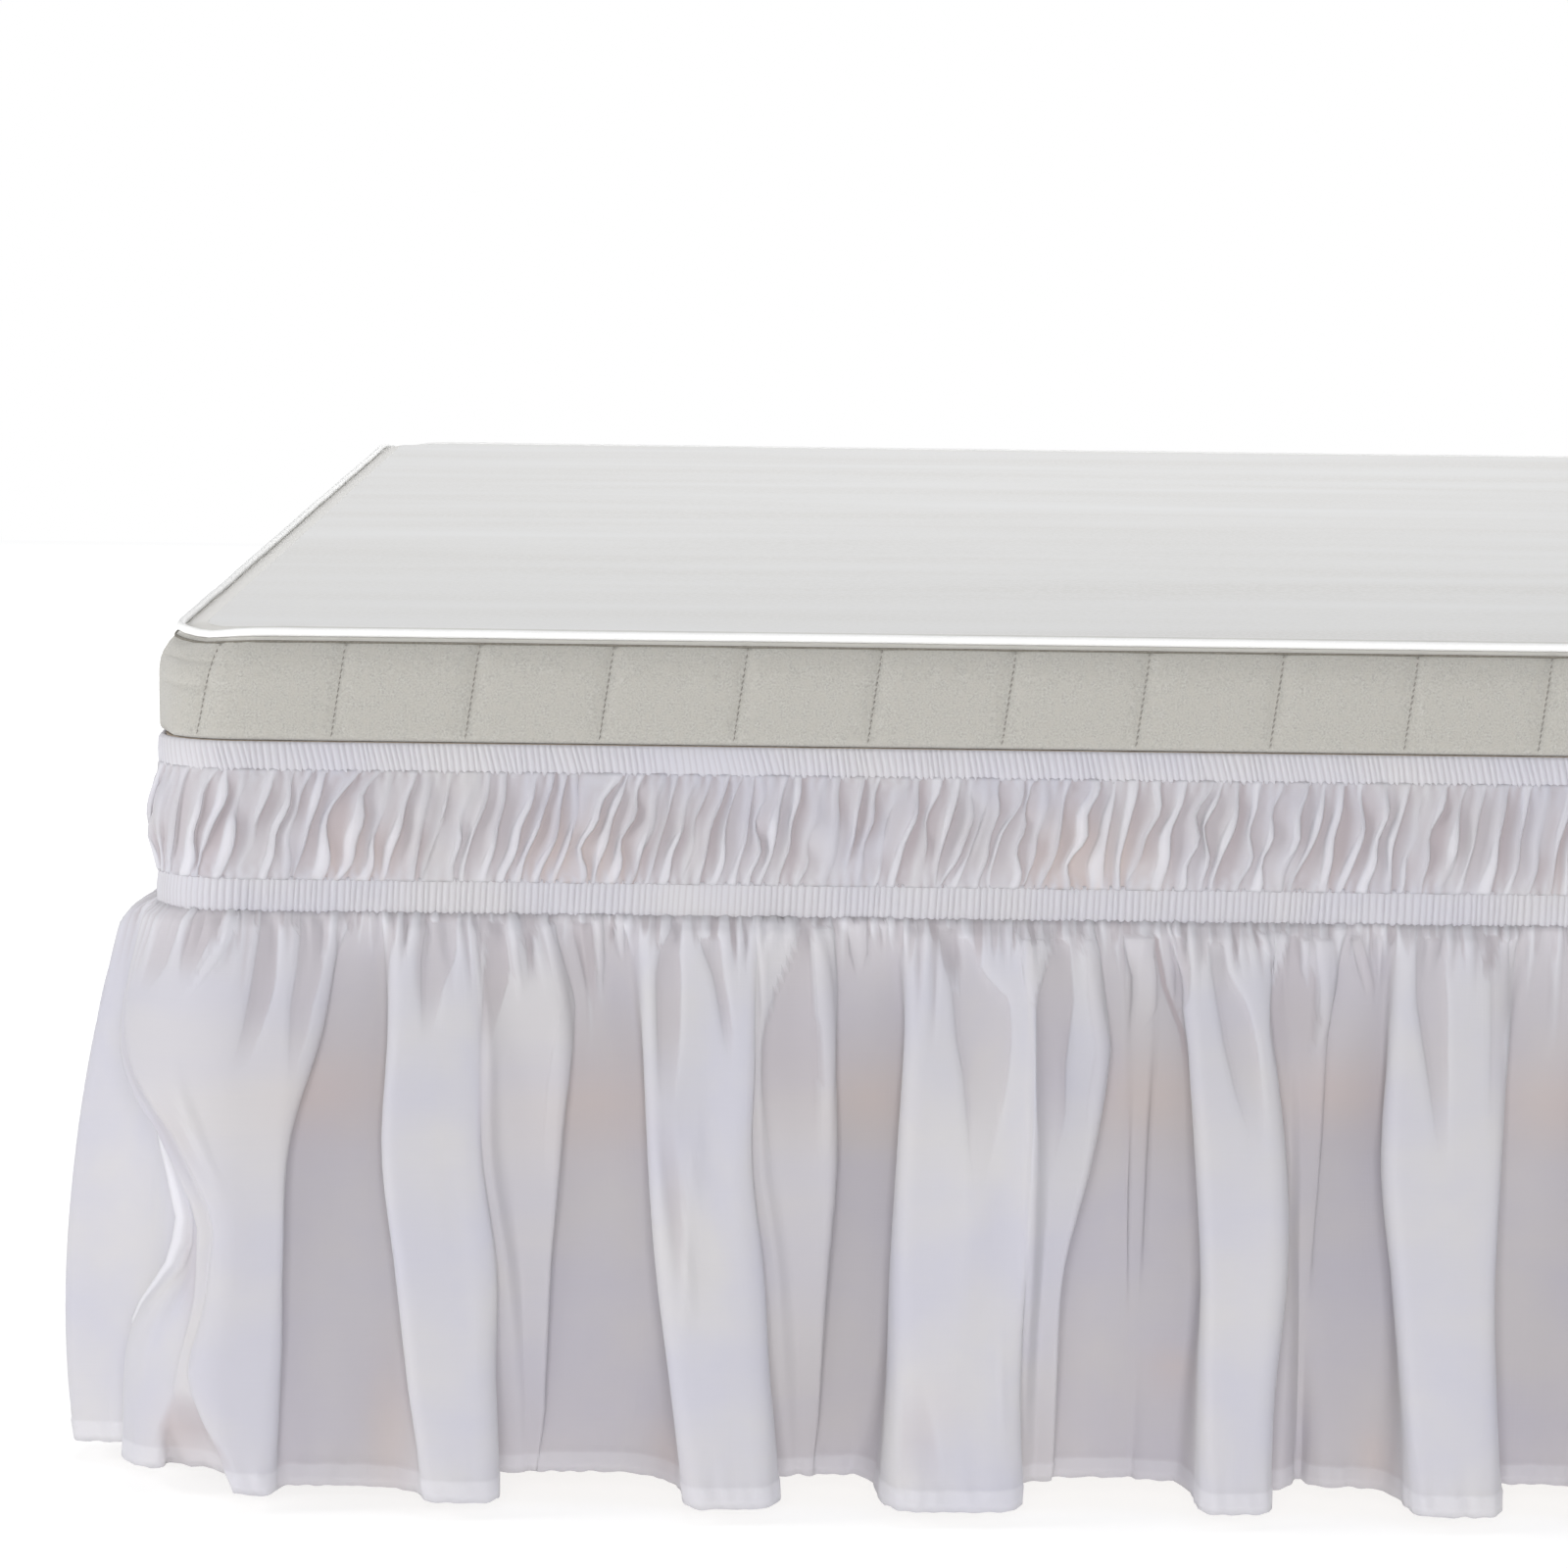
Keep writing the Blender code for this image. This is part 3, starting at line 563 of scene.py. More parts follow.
def add_casing(name, node, top, height, section, slant, seed, top_fringe):
    """A channel of cloth shirred on elastic, as a closed band in place of its CAD node:
    ribs in front, flat behind."""
    uneven = np.random.default_rng(seed)
    count = round(2 * CLOTH_END / RIB_PITCH)
    pitches = uneven.uniform(*RIB_PITCHES, count)
    edges = -CLOTH_END + 2 * CLOTH_END * summed(pitches) / pitches.sum()
    phase = np.arange(RIB_COLUMNS) / RIB_COLUMNS
    along = np.append(edges[:-1, None] + np.diff(edges)[:, None] * phase, CLOTH_END)
    depth = np.repeat(uneven.uniform(*RIB_DEPTHS, count), RIB_COLUMNS)
    depth = np.append(depth, depth[-1])
    for middle, half in SMOOTH_STRETCHES:
        depth = depth * (1 - 0.85 * np.exp(-((along - middle) / half) ** 4))
    rib = np.append(np.tile(np.sin(math.pi * phase), count), 0.0)
    tilt = np.repeat(uneven.uniform(*RIB_SLANTS, count // 6 + 2), 6 * RIB_COLUMNS)[: len(along)]
    share, reach = np.array(section).T[:, :, None]
    swell = np.clip(4.5 * share * (1 - share) + 0.35, 0, 1)
    place = along + slant * tilt * (share - 0.5)
    place[:, 0], place[:, -1] = -CLOTH_END, CLOTH_END
    x, y = outline(place, reach + RIB_DEPTH * depth * (rib - 0.6) * swell)
    lengths = np.repeat(uneven.uniform(*RIB_ENDS, count + 1), RIB_COLUMNS)[: len(along)]
    fringe = SCALLOP * depth * (rib - 0.5) * lengths
    z = top - height * share - fringe * (share > 0.95) + top_fringe * fringe * (share < 0.05)
    back_z = np.array([[top - height], [top]]) + 0 * along
    back = np.stack([*outline(along + 0 * back_z, SEAT_GAP), back_z], -1)
    points, faces = closed_band(np.stack([x, y, z], -1), back)
    # Painted shade in the furrows between the ribs and on the band's back, and painted light on the
    # ribs' crests.
    low = np.concatenate([np.clip(0.6 - rib, 0, 1) * swell, 1 + 0 * back_z])
    flat_z = np.concatenate([top - height * share + 0 * along, top - height + 0 * back_z])
    marks = {
        "place": np.stack([along + 0 * low, flat_z, 0 * low], -1),
        "painted_light_and_hem": np.stack([0.55 * low, 0 * low, 0.36 * (1 - low)], -1),
        "plate": np.stack([FAR_OUTSIDE + 0 * low, 0 * low, 0 * low], -1),
    }
    band = add_piece(name, points, faces, [skirt_cloth], "skirt_cloth", marks=marks)
    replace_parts(band, node)


skirt_cloth = white_microfibre()
add_casing(
    "skirt_top_casing", "casing_top", TOP_CASING_TOP, TOP_CASING_HEIGHT,
    TOP_CASING_SECTION, TOP_RIB_SLANT, 41, 0.1,
)


# Puffed band. One layer of the cloth, gathered between the two elastics: it swells out in
# uneven leaning pleats, each easing out from its left and dropping back at its right.
PUFF_TOP = TOP_CASING_TOP - TOP_CASING_HEIGHT - SEAT_GAP
PUFF_HEIGHT = 0.0565
PLEAT_PITCH = (0.0068, 0.0145)
PLEAT_SECTION = (
    # share across a pleat, height as a share of its ridge's, how deep in shade: a furrow,
    # a flat facet, and the ridge
    (0.00, 0.06, 1.00),
    (0.16, 0.20, 0.75),
    (0.42, 0.28, 0.62),
    (0.62, 0.82, 0.25),
    (0.80, 1.00, 0.15),
    (0.93, 0.60, 0.45),
)
# The ridge's lit ribbon across a pleat: left edge, how that wanders, right edge.
RIBBON = (0.64, 0.15, 0.98)
PLEAT_SMALLEST = 0.0024  # least width of a pleat at any height
# Top to the right of the foot: mean, more at the left than at the right, how it wanders
# along the band, and from pleat to pleat.
PLEAT_LEAN = (0.0100, 0.0120, 0.0050, 0.0030)
USUAL_PLEAT = 0.0105  # a pleat as wide as this stands out as usual, a narrower one less
PLEAT_SIZES = (0.45, 1.30)  # its ridge's height, as a share of the usual
PLEAT_SHADES = (0.55, 1.20)  # how deep in shade it lies, in the same way
PLEAT_BEND = (0.0018, 0.0009)  # slow and quick wandering of a furrow
PLEAT_OVERHANG = 0.08
FORK_CHANCE = 0.42  # of a furrow that dies away half way
PUFF_ROWS = (0, .03, .08, .15, .23, .32, .41, .50, .59, .68, .77, .85, .92, .97, 1)
PUFF_FLOOR = (0.0029, 0.0044, 0.0048, 0.0030)  # furrows' reach: top, a third, two thirds, foot
PUFF_RISE = (0.0008, 0.0040, 0.0044, 0.0008)  # ridges over furrows at the same heights
PUFF_TUCK = 0.0018  # how far its edges go in behind the casings' edges
CLOTH_THICK = 0.0007
# The small gathers at both elastics: pitch, height, and the share of the band they fade in.
SMALL_GATHER = (0.0064, 0.0012, 0.11)


def down(values, share):
    """A smooth run through values that are given at equal steps from top to foot."""
    values = np.asarray(values, float)
    last = len(values) - 1
    place = np.clip(share, 0, 1) * last
    step = np.minimum(place.astype(int), last - 1)
    t = place - step
    ends = np.concatenate([[2 * values[0] - values[1]], values, [2 * values[-1] - values[-2]]])
    a, b, c, d = (ends[step + k] for k in range(4))
    return b + 0.5 * t * (c - a + t * (2 * a - 5 * b + 4 * c - d + t * (3 * (b - c) + d - a)))


def eased(share):
    """A share that starts and ends softly."""
    return share * share * (3 - 2 * share)


def puffed_band():
    """The band's points and marks: each pleat runs from one wandering furrow to the next."""
    uneven = np.random.default_rng(17)
    furrows = [-CLOTH_END]
    while furrows[-1] < CLOTH_END - PLEAT_PITCH[1]:
        furrows.append(furrows[-1] + uneven.uniform(*PLEAT_PITCH))
    furrows = np.array(furrows)
    furrows = -CLOTH_END + (furrows + CLOTH_END) * 2 * CLOTH_END / (furrows[-1] + CLOTH_END)
    count = len(furrows)
    share = np.array(PUFF_ROWS)[:, None]
    slow = np.sin(furrows * 2.1 + 0.6) + 0.5 * np.sin(furrows * 5.3)
    mean, drift, wander, stray = PLEAT_LEAN
    lean = mean - drift * np.tanh(furrows / 0.6) + wander * slow + uneven.normal(0, stray, count)
    paths = furrows + lean * (0.5 - share)
    for waves, size in zip((1.0, 2.2), PLEAT_BEND):
        bend, phase = uneven.normal(0, size, count), uneven.uniform(0, 6.3, count)
        paths = paths + bend * np.sin(2 * math.pi * waves * share + phase)
    paths[:, 0], paths[:, -1] = -CLOTH_END, CLOTH_END
    for k in range(1, count):
        paths[:, k] = np.maximum(paths[:, k], paths[:, k - 1] + PLEAT_SMALLEST)
    paths = np.minimum(paths, CLOTH_END - PLEAT_SMALLEST * (count - 1 - np.arange(count)) * 0.2)
    kept = np.ones((len(share), count))
    for k in range(1, count - 1):
        if uneven.random() < FORK_CHANCE:
            start = uneven.uniform(0.25, 0.6)
            fade = eased(np.clip((share[:, 0] - start) / 0.3, 0, 1))
            kept[:, k] = 1 - 0.9 * (fade if uneven.random() < 0.5 else 1 - fade)
    height = uneven.uniform(*PLEAT_SIZES, count)
    cell = np.append(np.repeat(np.arange(count - 1), len(PLEAT_SECTION)), count - 2)
    t, ridge, shade = (
        np.append(np.tile(steps, count - 1), last)
        for steps, last in zip(zip(*PLEAT_SECTION), (1.0, 0.0, 1.0))
    )
    left = paths[:, cell]
    wide = paths[:, cell + 1] - left
    between = 1 - kept[:, cell] + (kept[:, cell] - kept[:, cell + 1]) * t
    level = between * 0.8 + (1 - between * 0.8) * ridge
    narrow = np.clip(wide / USUAL_PLEAT, 0.40, 1.30)
    swell = np.clip(4.4 * share * (1 - share), 0, 1)
    reach = down(PUFF_FLOOR, share) + down(PUFF_RISE, share) * height[cell] * narrow * level
    along = left + wide * (t + PLEAT_OVERHANG * ridge ** 2 * swell * (1 - between))
    pitch, tall, fading = SMALL_GATHER
    gathers = np.sin(along * 2 * math.pi / pitch + 2.0 * np.sin(along * 37.0))
    near_elastic = np.exp(-share / fading) + np.exp(-(1 - share) / fading)
    pinch = np.clip(share / 0.03, 0, 1) * np.clip((1 - share) / 0.03, 0, 1)
    x, y = outline(along, reach + tall * near_elastic * pinch * gathers)
    z = PUFF_TOP + PUFF_TUCK - (PUFF_HEIGHT + 2 * PUFF_TUCK) * share + 0 * x
    # Painted shade: the furrows and facets darker, less so near the elastics and where a pleat dies
    # away, and rising and falling with the small gathers there. Painted warm light in that shade in the
    # band's lower part, and painted light on each ridge's lit ribbon.
    deep = shade * (1 - 0.8 * between) * (0.45 + 0.55 * swell)
    deep = np.clip(deep - 0.45 * near_elastic * gathers, 0, 1)
    deep = deep * uneven.uniform(*PLEAT_SHADES, count)[cell]
    warm = np.clip(np.sin(along * 19.0) * 0.5 + 0.5 * np.sin(along * 47.0 + 1), 0, 1)
    warm = deep * warm * np.clip(share * 1.6 - 0.3, 0, 1)
    left_edge, sway, right_edge = RIBBON
    turn = uneven.uniform(0, 6.3, count)[cell] + uneven.uniform(2, 6, count)[cell] * share
    from_left = t - left_edge - sway * np.sin(turn)
    inside = 1000 * wide * np.minimum(from_left, right_edge - t) - 4.0 * between
    inside = np.maximum(inside, FAR_OUTSIDE)
    marks = {
        "place": np.stack([along, z, 0 * x], -1),
        "painted_light_and_hem": np.stack([1.25 * deep, warm, 0.80 * np.clip(inside / 2, 0, 1)], -1),
        "plate": np.stack([inside, 0.06 * deep, 3.0 * swell + 0 * deep], -1),
    }
    return np.stack([x, y, z], -1), marks


def thicken(cloth, thick):
    """Gives a sheet its thickness, half to each side."""
    body = cloth.modifiers.new("Thickness", "SOLIDIFY")
    body.thickness = thick
    body.offset = 0.0
    return body


puff_points, puff_marks = puffed_band()
puff = add_piece(
    "skirt_puffed_band", puff_points, grid_faces(*puff_points.shape[:2]),
    [skirt_cloth], "skirt_cloth", marks=puff_marks,
)
thicken(puff, CLOTH_THICK)
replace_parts(puff, "puffed_band")


# Lower casing. The second shirred channel, a little deeper than the first. The falls are
# sewn into its foot.
LOWER_CASING_TOP = PUFF_TOP - PUFF_HEIGHT - SEAT_GAP
LOWER_CASING_HEIGHT = 0.0195
LOWER_RIB_SLANT = -0.0010
LOWER_CASING_SECTION = ((0.0, 0.0033), (0.12, 0.0036), (0.5, 0.0043), (0.88, 0.0039), (1.0, 0.0028))
add_casing(
    "skirt_lower_casing", "casing_lower", LOWER_CASING_TOP, LOWER_CASING_HEIGHT,
    LOWER_CASING_SECTION, LOWER_RIB_SLANT, 43, 1.0,
)


# Foot fall. A gathered panel of one layer, hung from the lower casing across the foot end
# and round both corners. It falls in uneven folds to a narrow double hem, and its upright
# edges, at the corner slits, are hemmed as well.
FALL_TOP = LOWER_CASING_TOP - LOWER_CASING_HEIGHT - SEAT_GAP
HEM_CLEARANCE = 0.0125
HEM_UNEVEN = 0.0044  # a fold's hem hangs lower, a valley's higher
HEM_HEIGHT = 0.0110
HEM_THICK = 0.0014
FALL_DROP = FALL_TOP - HEM_CLEARANCE
HEM_SHARE = HEM_HEIGHT / FALL_DROP
HEM_TOP = 1 - HEM_SHARE
FOOT_FALL_END = SIDE_START + 0.012
EDGE_HEM = 0.0080  # width of the hems up the sides
EDGE_RUFFLE = (0.0012, 0.021)  # how they pucker: height, and length along the edge
PUCKER_WAVES = (0.010, 0.00045)  # uneven waves: length and height of the hem's puckers,
HEM_WAVES = (0.012, 0.00035)  # of its lower edge,
TOP_WAVES = (0.0045, 0.0005)  # of the upper edge,
CLOTH_WAVES = (0.075, 0.0010)  # and of all the cloth
WAIST = 0.42
VALLEY_REACH = (0.0052, 0.0056, 0.0062)  # top, waist, hem
VALLEY_PLACE = (0.50, 0.45, 0.28)  # across the gap between two folds
# How far a fold closes in behind its left and right sides: top, waist, hem.
CLOSE_LEFT, CLOSE_RIGHT = (0.25, 0.88, 0.40), (0.25, 0.92, 0.90)
CLOSING_STEP = 0.6  # a fold that stands out by less of its reach closes in less
SMALLEST_GAP = 0.0070
FULL_VALLEY = 0.0300
CLOSE_FOLDS = 0.0110  # folds as near as this lie on each other with no groove
FLAT_FRONT = (1.80, 1.35)  # over 1 flattens the folds' fronts: at the top, the hem
TONE_EDGE = 3.2  # over 1 sharpens the edge of a fold's lit front
VALLEY_SHADE = (0.38, 0.30, 0.44)  # how deep in shade valleys lie: top, lower, hem
FALL_COLUMNS = {"foot": 1150, "side": 880}
FALL_SHARES = np.concatenate([
    [0.0, 0.006, 0.014, 0.024], np.linspace(0.037, 0.34, 18)[:-1], np.linspace(0.34, 0.92, 15)[:-1],
    [0.92, 0.945, HEM_TOP - 0.004], HEM_TOP + HEM_SHARE * np.array([0.0, 0.07, 0.18, 0.55, 1.0]),
])
NECK_REACH = 0.0034  # where the cloth leaves the casing, tucked in under it
NECK_LEAST = 0.0030  # least height in which it swings out
NECK_SWING = 1.4  # most that it swings out for each mm down
NECK_GATHER = 0.8  # share of the gathers' relief that it starts with,
NECK_RELIEF = (-0.0015, 0.0012)  # of what lies between these
NECK_TUCK = 0.0018
# Painted light: the fall's top is whiter, fading down over this depth, where the cloth lies double
# behind the seam and where it lies in shade under the casing.
SEAM_DOUBLE_AND_LIGHT = 0.0150  # the cloth lies double behind its top and looks whiter
MAIN_REACH = (0.0060, 0.0400, 0.0560)  # a main fold's: top, waist, hem
GATHER_WIDE = (0.0050, 0.0130)
GATHER_LONG = (0.030, 0.050, 0.22)  # as shares of the way down: least, usual, rare
GATHER_TALL = (0.26, 0.0032)  # a share of its width, and the most
GATHER_SWING = 0.004  # most that it sways to each side
# Folds of the foot fall's left half. Edges are mm to the right of the mattress's left
# side at six heights, from the casing to the hem. Reach is mm out from a valley at the
# top, the waist and the hem, and floor is what the valley after the fold gains there.
FOOT_FOLDS = {
    "edge": ((-26, -26, 15, 28, -12, -22), (-16, -14, 22, 35, 28, 16), (6, 13, 17), (0, 14, 4)),
    "corner": ((-8, -7, 29, 42, 36, 48), (104, 93, 76, 72, 71, 71), (5, 32, 46), (0, 2, 30)),
    "second": ((129, 130, 130, 140, 147, 150), (172, 179, 180, 189, 189, 192), (6, 40, 54), (0, 10, 2)),
    "nook": ((180, 187, 189, 198, 202, 204), (216, 226, 222, 214, 210, 207), (5, 24, 3), (0, 0, 2)),
    "third": ((262, 266, 273, 280, 287, 290), (326, 325, 325, 334, 337, 341), (6, 42, 60), (0, 8, 2)),
    "side": ((335, 333, 334, 343, 348, 351), (366, 370, 370, 366, 364, 362), (5, 24, 3), (0, 0, 2)),
    "fourth": ((406, 408, 406, 403, 401, 396), (472, 474, 473, 472, 470, 470), (6, 42, 60), (0, 16, 4)),
    "lap": ((480, 482, 481, 480, 478, 478), (508, 517, 508, 492, 490, 490), (6, 36, 8), (0, 0, 2)),
    "notch": ((528, 530, 531, 531, 530, 530), (543, 542, 539, 538, 538, 538), (5, 3, 0), (0, 0, 4)),
    "fifth": ((550, 560, 566, 569, 567, 566), (603, 607, 611, 611, 607, 607), (6, 44, 58), (0, 6, 18)),
    "upper": ((615, 617, 620, 620, 620, 620), (640, 634, 632, 630, 630, 630), (5, 5, 0), (0, 0, 12)),
    "sixth": ((673, 667, 666, 673, 676, 678), (736, 732, 727, 723, 725, 730), (6, 42, 58), (0, 2, 4)),
}
FOOT_EDGE = (-34, -34, 6, 21, -21, -30)  # its upright edge's place, in the same mm
FOOT_EDGE_REACH = (5, 10, 13, 16, 14, 17)  # and reach, at six heights
RIGHT_HALF = (0.020, 0.643)  # where its folds follow the rule
FOLD_PITCH = (0.124, 0.154)
SHORTEST_PITCH = 0.068
FOLD_SHARE = (0.48, 0.60)
FOLD_SWAY = 0.012
FOLD_SWELL = (0.90, 1.12)
WAIST_REACH = (0.036, 0.044)
HEM_REACH = (0.052, 0.062)
TOP_REACH = 0.006
NOOK_CHANCE = 0.30
NOOK_GAP = 0.008
NOOK_WIDE = (0.024, 0.020, 0.012)
NOOK_REACH = (0.014, 0.022)
NOOK_ENDS = (0.005, 0.002)
FOOT_SEED, LEFT_SEED, RIGHT_SEED, PLATE_SEED = 5, 23, 31, 61
# Plates of the foot fall's left half: light tongues of cloth that hang from the gathers
# and dark wedges let in between them, in relief and in painted shade. Each has how deep
# in painted shade it lies, how far it stands out in mm, and at shares of the way down its left and right
# edges in mm.
FOOT_PLATES = (
    (.40, -2.0, (.00, 9, 21), (.04, 7, 20), (.10, 5, 17), (.155, 3, 8)),
    (.60, -2.6, (.00, 26, 42), (.04, 24, 37), (.08, 24, 33), (.11, 25, 30), (.125, 26, 27)),
    (.00, 2.2, (.015, 44, 49), (.08, 36, 41), (.125, 29, 34), (.165, 23, 27)),
    (.50, -2.8, (.01, 60, 70), (.115, 56, 69), (.155, 54, 66), (.195, 52, 62), (.25, 48, 56),
                (.28, 46, 47)),
    (.45, -2.4, (.00, 82, 95), (.095, 80, 94), (.155, 77, 89), (.195, 77, 87), (.25, 77, 82),
                (.30, 78, 79)),
    (.25, -1.6, (.29, 22, 29), (.31, 20, 30), (.36, 19, 34), (.42, 20, 38), (.47, 26, 40)),
    (.00, 2.0, (.24, 27, 30), (.31, 29, 33), (.38, 33, 38), (.42, 38, 42), (.47, 41, 44)),
    (.35, -2.2, (.49, 29, 33), (.56, 26, 36), (.70, 28, 35), (.775, 30, 33)),
    (.00, 2.4, (.60, 20, 24), (.68, 21, 25), (.75, 12, 16), (.79, 8, 11)),
    (.85, -1.0, (.83, 30, 32), (.90, 21, 43), (.935, 17, 47), (.98, 18, 51)),
    (.38, -2.6, (.02, 149, 166), (.065, 147, 166), (.12, 147, 159), (.16, 148, 157), (.21, 149, 152)),
    (.55, -2.0, (.02, 183, 192), (.095, 181, 195), (.18, 180, 188), (.24, 181, 183)),
    (.00, 2.4, (.01, 194, 200), (.06, 195, 199), (.115, 198, 202), (.155, 200, 201)),
    (.60, -2.2, (.01, 202, 208), (.05, 203, 207), (.115, 205, 208)),
    (.08, 1.8, (.02, 213, 219), (.07, 216, 221), (.15, 222, 229), (.285, 216, 226), (.385, 214, 223),
                (.49, 217, 222)),
    (.65, 1.5, (.02, 228, 239), (.08, 233, 240), (.18, 240, 241)),
    (.20, 2.6, (.005, 239, 244), (.08, 241, 245), (.165, 242, 243)),
    (.15, 2.4, (.005, 251, 256), (.045, 252, 256), (.085, 255, 256)),
    (.45, -2.8, (.015, 281, 287), (.055, 275, 286), (.095, 273, 287), (.175, 274, 287), (.245, 275, 286),
                (.30, 277, 285), (.33, 280, 282)),
    (.35, -2.0, (.04, 297, 308), (.095, 304, 310), (.14, 307, 313), (.195, 310, 316), (.24, 314, 315)),
    (.00, 2.0, (.34, 299, 302), (.365, 297, 301), (.46, 290, 294), (.49, 289, 290)),
    (.35, -1.6, (.30, 277, 281), (.38, 277, 286), (.48, 281, 290), (.59, 286, 291), (.66, 289, 291)),
    (.00, 2.6, (.49, 293, 296), (.51, 291, 295), (.635, 291, 295), (.73, 286, 290)),
    (.08, 2.2, (.01, 328, 349), (.055, 329, 346), (.12, 330, 337), (.22, 330, 331)),
    (.50, -1.6, (.005, 352, 357), (.04, 348, 357), (.075, 344, 358), (.12, 338, 359), (.19, 332, 361),
                (.265, 331, 362), (.36, 333, 362), (.46, 339, 358)),
    (.10, 1.8, (.02, 357, 367), (.13, 360, 371), (.245, 362, 370), (.375, 363, 369), (.47, 362, 363)),
    (.30, 2.6, (.01, 376, 387), (.055, 378, 387), (.11, 382, 383)),
    (.30, 2.2, (.01, 393, 398), (.05, 396, 397)),
    (.40, -1.6, (.015, 409, 413), (.08, 409, 410)),
    (.28, -2.4, (.035, 429, 443), (.085, 432, 450), (.13, 433, 464), (.195, 435, 465), (.26, 439, 463),
                (.33, 441, 459), (.39, 443, 455), (.46, 446, 449)),
    (.50, -2.0, (.02, 425, 436), (.07, 428, 438), (.11, 433, 436)),
    (.05, 2.2, (.035, 468, 486), (.07, 471, 482), (.13, 474, 477)),
    (.28, -1.2, (.765, 410, 417), (.84, 408, 424), (.915, 408, 429), (.98, 406, 428)),
    (.00, 1.6, (.67, 461, 463), (.93, 461, 463)),
    (.45, -2.0, (.035, 486, 496), (.13, 478, 498), (.235, 478, 494), (.32, 479, 494), (.45, 482, 486)),
    (.10, 1.8, (.035, 504, 511), (.13, 506, 513), (.21, 510, 517), (.29, 506, 513), (.37, 504, 509)),
    (.25, 2.4, (.03, 525, 541), (.09, 530, 543), (.145, 530, 543), (.17, 529, 540), (.21, 529, 531)),
    (1.0, -1.2, (.03, 541, 544), (.11, 546, 549), (.19, 556, 559), (.235, 558, 561), (.30, 560, 562)),
    (.40, -2.2, (.03, 552, 559), (.07, 553, 561), (.125, 553, 560), (.16, 554, 555)),
    (.28, -2.2, (.04, 571, 579), (.075, 572, 581), (.135, 575, 592), (.205, 579, 597), (.27, 584, 599),
                (.33, 590, 601), (.385, 596, 598)),
    (.10, 2.2, (.02, 598, 613), (.065, 606, 612), (.12, 604, 605)),
    (.55, -1.4, (.025, 614, 621), (.10, 605, 630), (.17, 604, 630), (.23, 606, 627), (.28, 612, 618)),
    (.10, 2.4, (.03, 620, 625), (.10, 623, 624)),
    (.15, 1.8, (.03, 628, 638), (.105, 631, 638), (.16, 631, 636), (.22, 627, 632), (.25, 626, 627)),
    (.45, 2.4, (.025, 648, 654), (.065, 651, 658), (.105, 655, 661), (.15, 659, 660)),
    (.30, 2.0, (.025, 662, 665), (.12, 663, 664)),
    (.38, -2.6, (.025, 682, 697), (.12, 682, 699), (.185, 685, 699), (.25, 688, 699), (.315, 691, 699),
                (.37, 693, 699), (.41, 697, 699)),
    (.18, -1.4, (.03, 723, 738), (.10, 722, 735), (.18, 722, 730), (.28, 721, 731), (.38, 721, 728)),
    (.60, -1.8, (.02, 720, 728), (.06, 718, 724), (.09, 718, 719)),
)
PLATE_SLOPE = 0.0034  # over how much of its edge a plate rises
GATHERED_TO = 0.12  # plates from above this share hang from a gather: crisp
PLATE_FADE = 0.55  # share of its length in which a plate dies away
WEDGE_WIDE, WEDGE_LONG, WEDGE_SHADE = (0.009, 0.020), (0.13, 0.42), (0.28, 0.52)
TONGUE_WIDE, TONGUE_LONG, TONGUE_SHADE = (0.006, 0.013), (0.06, 0.20), (0.12, 0.45)
PLATE_STANDS = (0.0018, 0.0028)
PLATE_STRAY = (0.004, 0.006)  # how far its top and its foot stray to each side
MAIN_FOLD = 0.03  # wedges are let into folds that reach further than this at the hem
TONGUE_PITCH = 0.018
# The nicks are sunk a little and darkened with painted shade.
NICK_PITCH = (0.0050, 0.0120)  # small dark nicks between the gathers at the casing
NICK_WIDE, NICK_LONG, NICK_SHADE = (0.0020, 0.0052), (0.025, 0.085), (0.35, 0.75)
NICK_STANDS = (-0.0016, -0.0008)
# Patches of painted warm light, where the base's warm cover or the floor is painted as
# showing through the cloth: mm to the right of the mattress's left side, share of the way down, half
# width in mm, half height as a share.
WARM_PATCHES = (
    (90, 0.33, 34, 0.07), (243, 0.35, 40, 0.07), (390, 0.33, 22, 0.06), (540, 0.31, 26, 0.07),
    (640, 0.30, 30, 0.06), (762, 0.32, 30, 0.07), (285, 0.95, 12, 0.05), (556, 0.80, 16, 0.04),
    (425, 0.82, 14, 0.05), (22, 0.92, 14, 0.07), (133, 0.90, 12, 0.12), (665, 0.94, 10, 0.05),
)
WARM_BAND = (0.30, 0.09)  # middle and half height, as shares of the way down
WARM_SHOWN = (0.28, 0.45)  # how strongly the band and a patch show


Fold = namedtuple("Fold", "left right reach floor")  # floor: what the valley after it gains


def through(values, share):
    """A smooth run through three values: at the top, the waist and the hem."""
    top, waist, hem = values
    bend = ((waist - top) / WAIST - (hem - top)) / (1 - WAIST)
    return top + (hem - top + bend) * share - bend * share * share


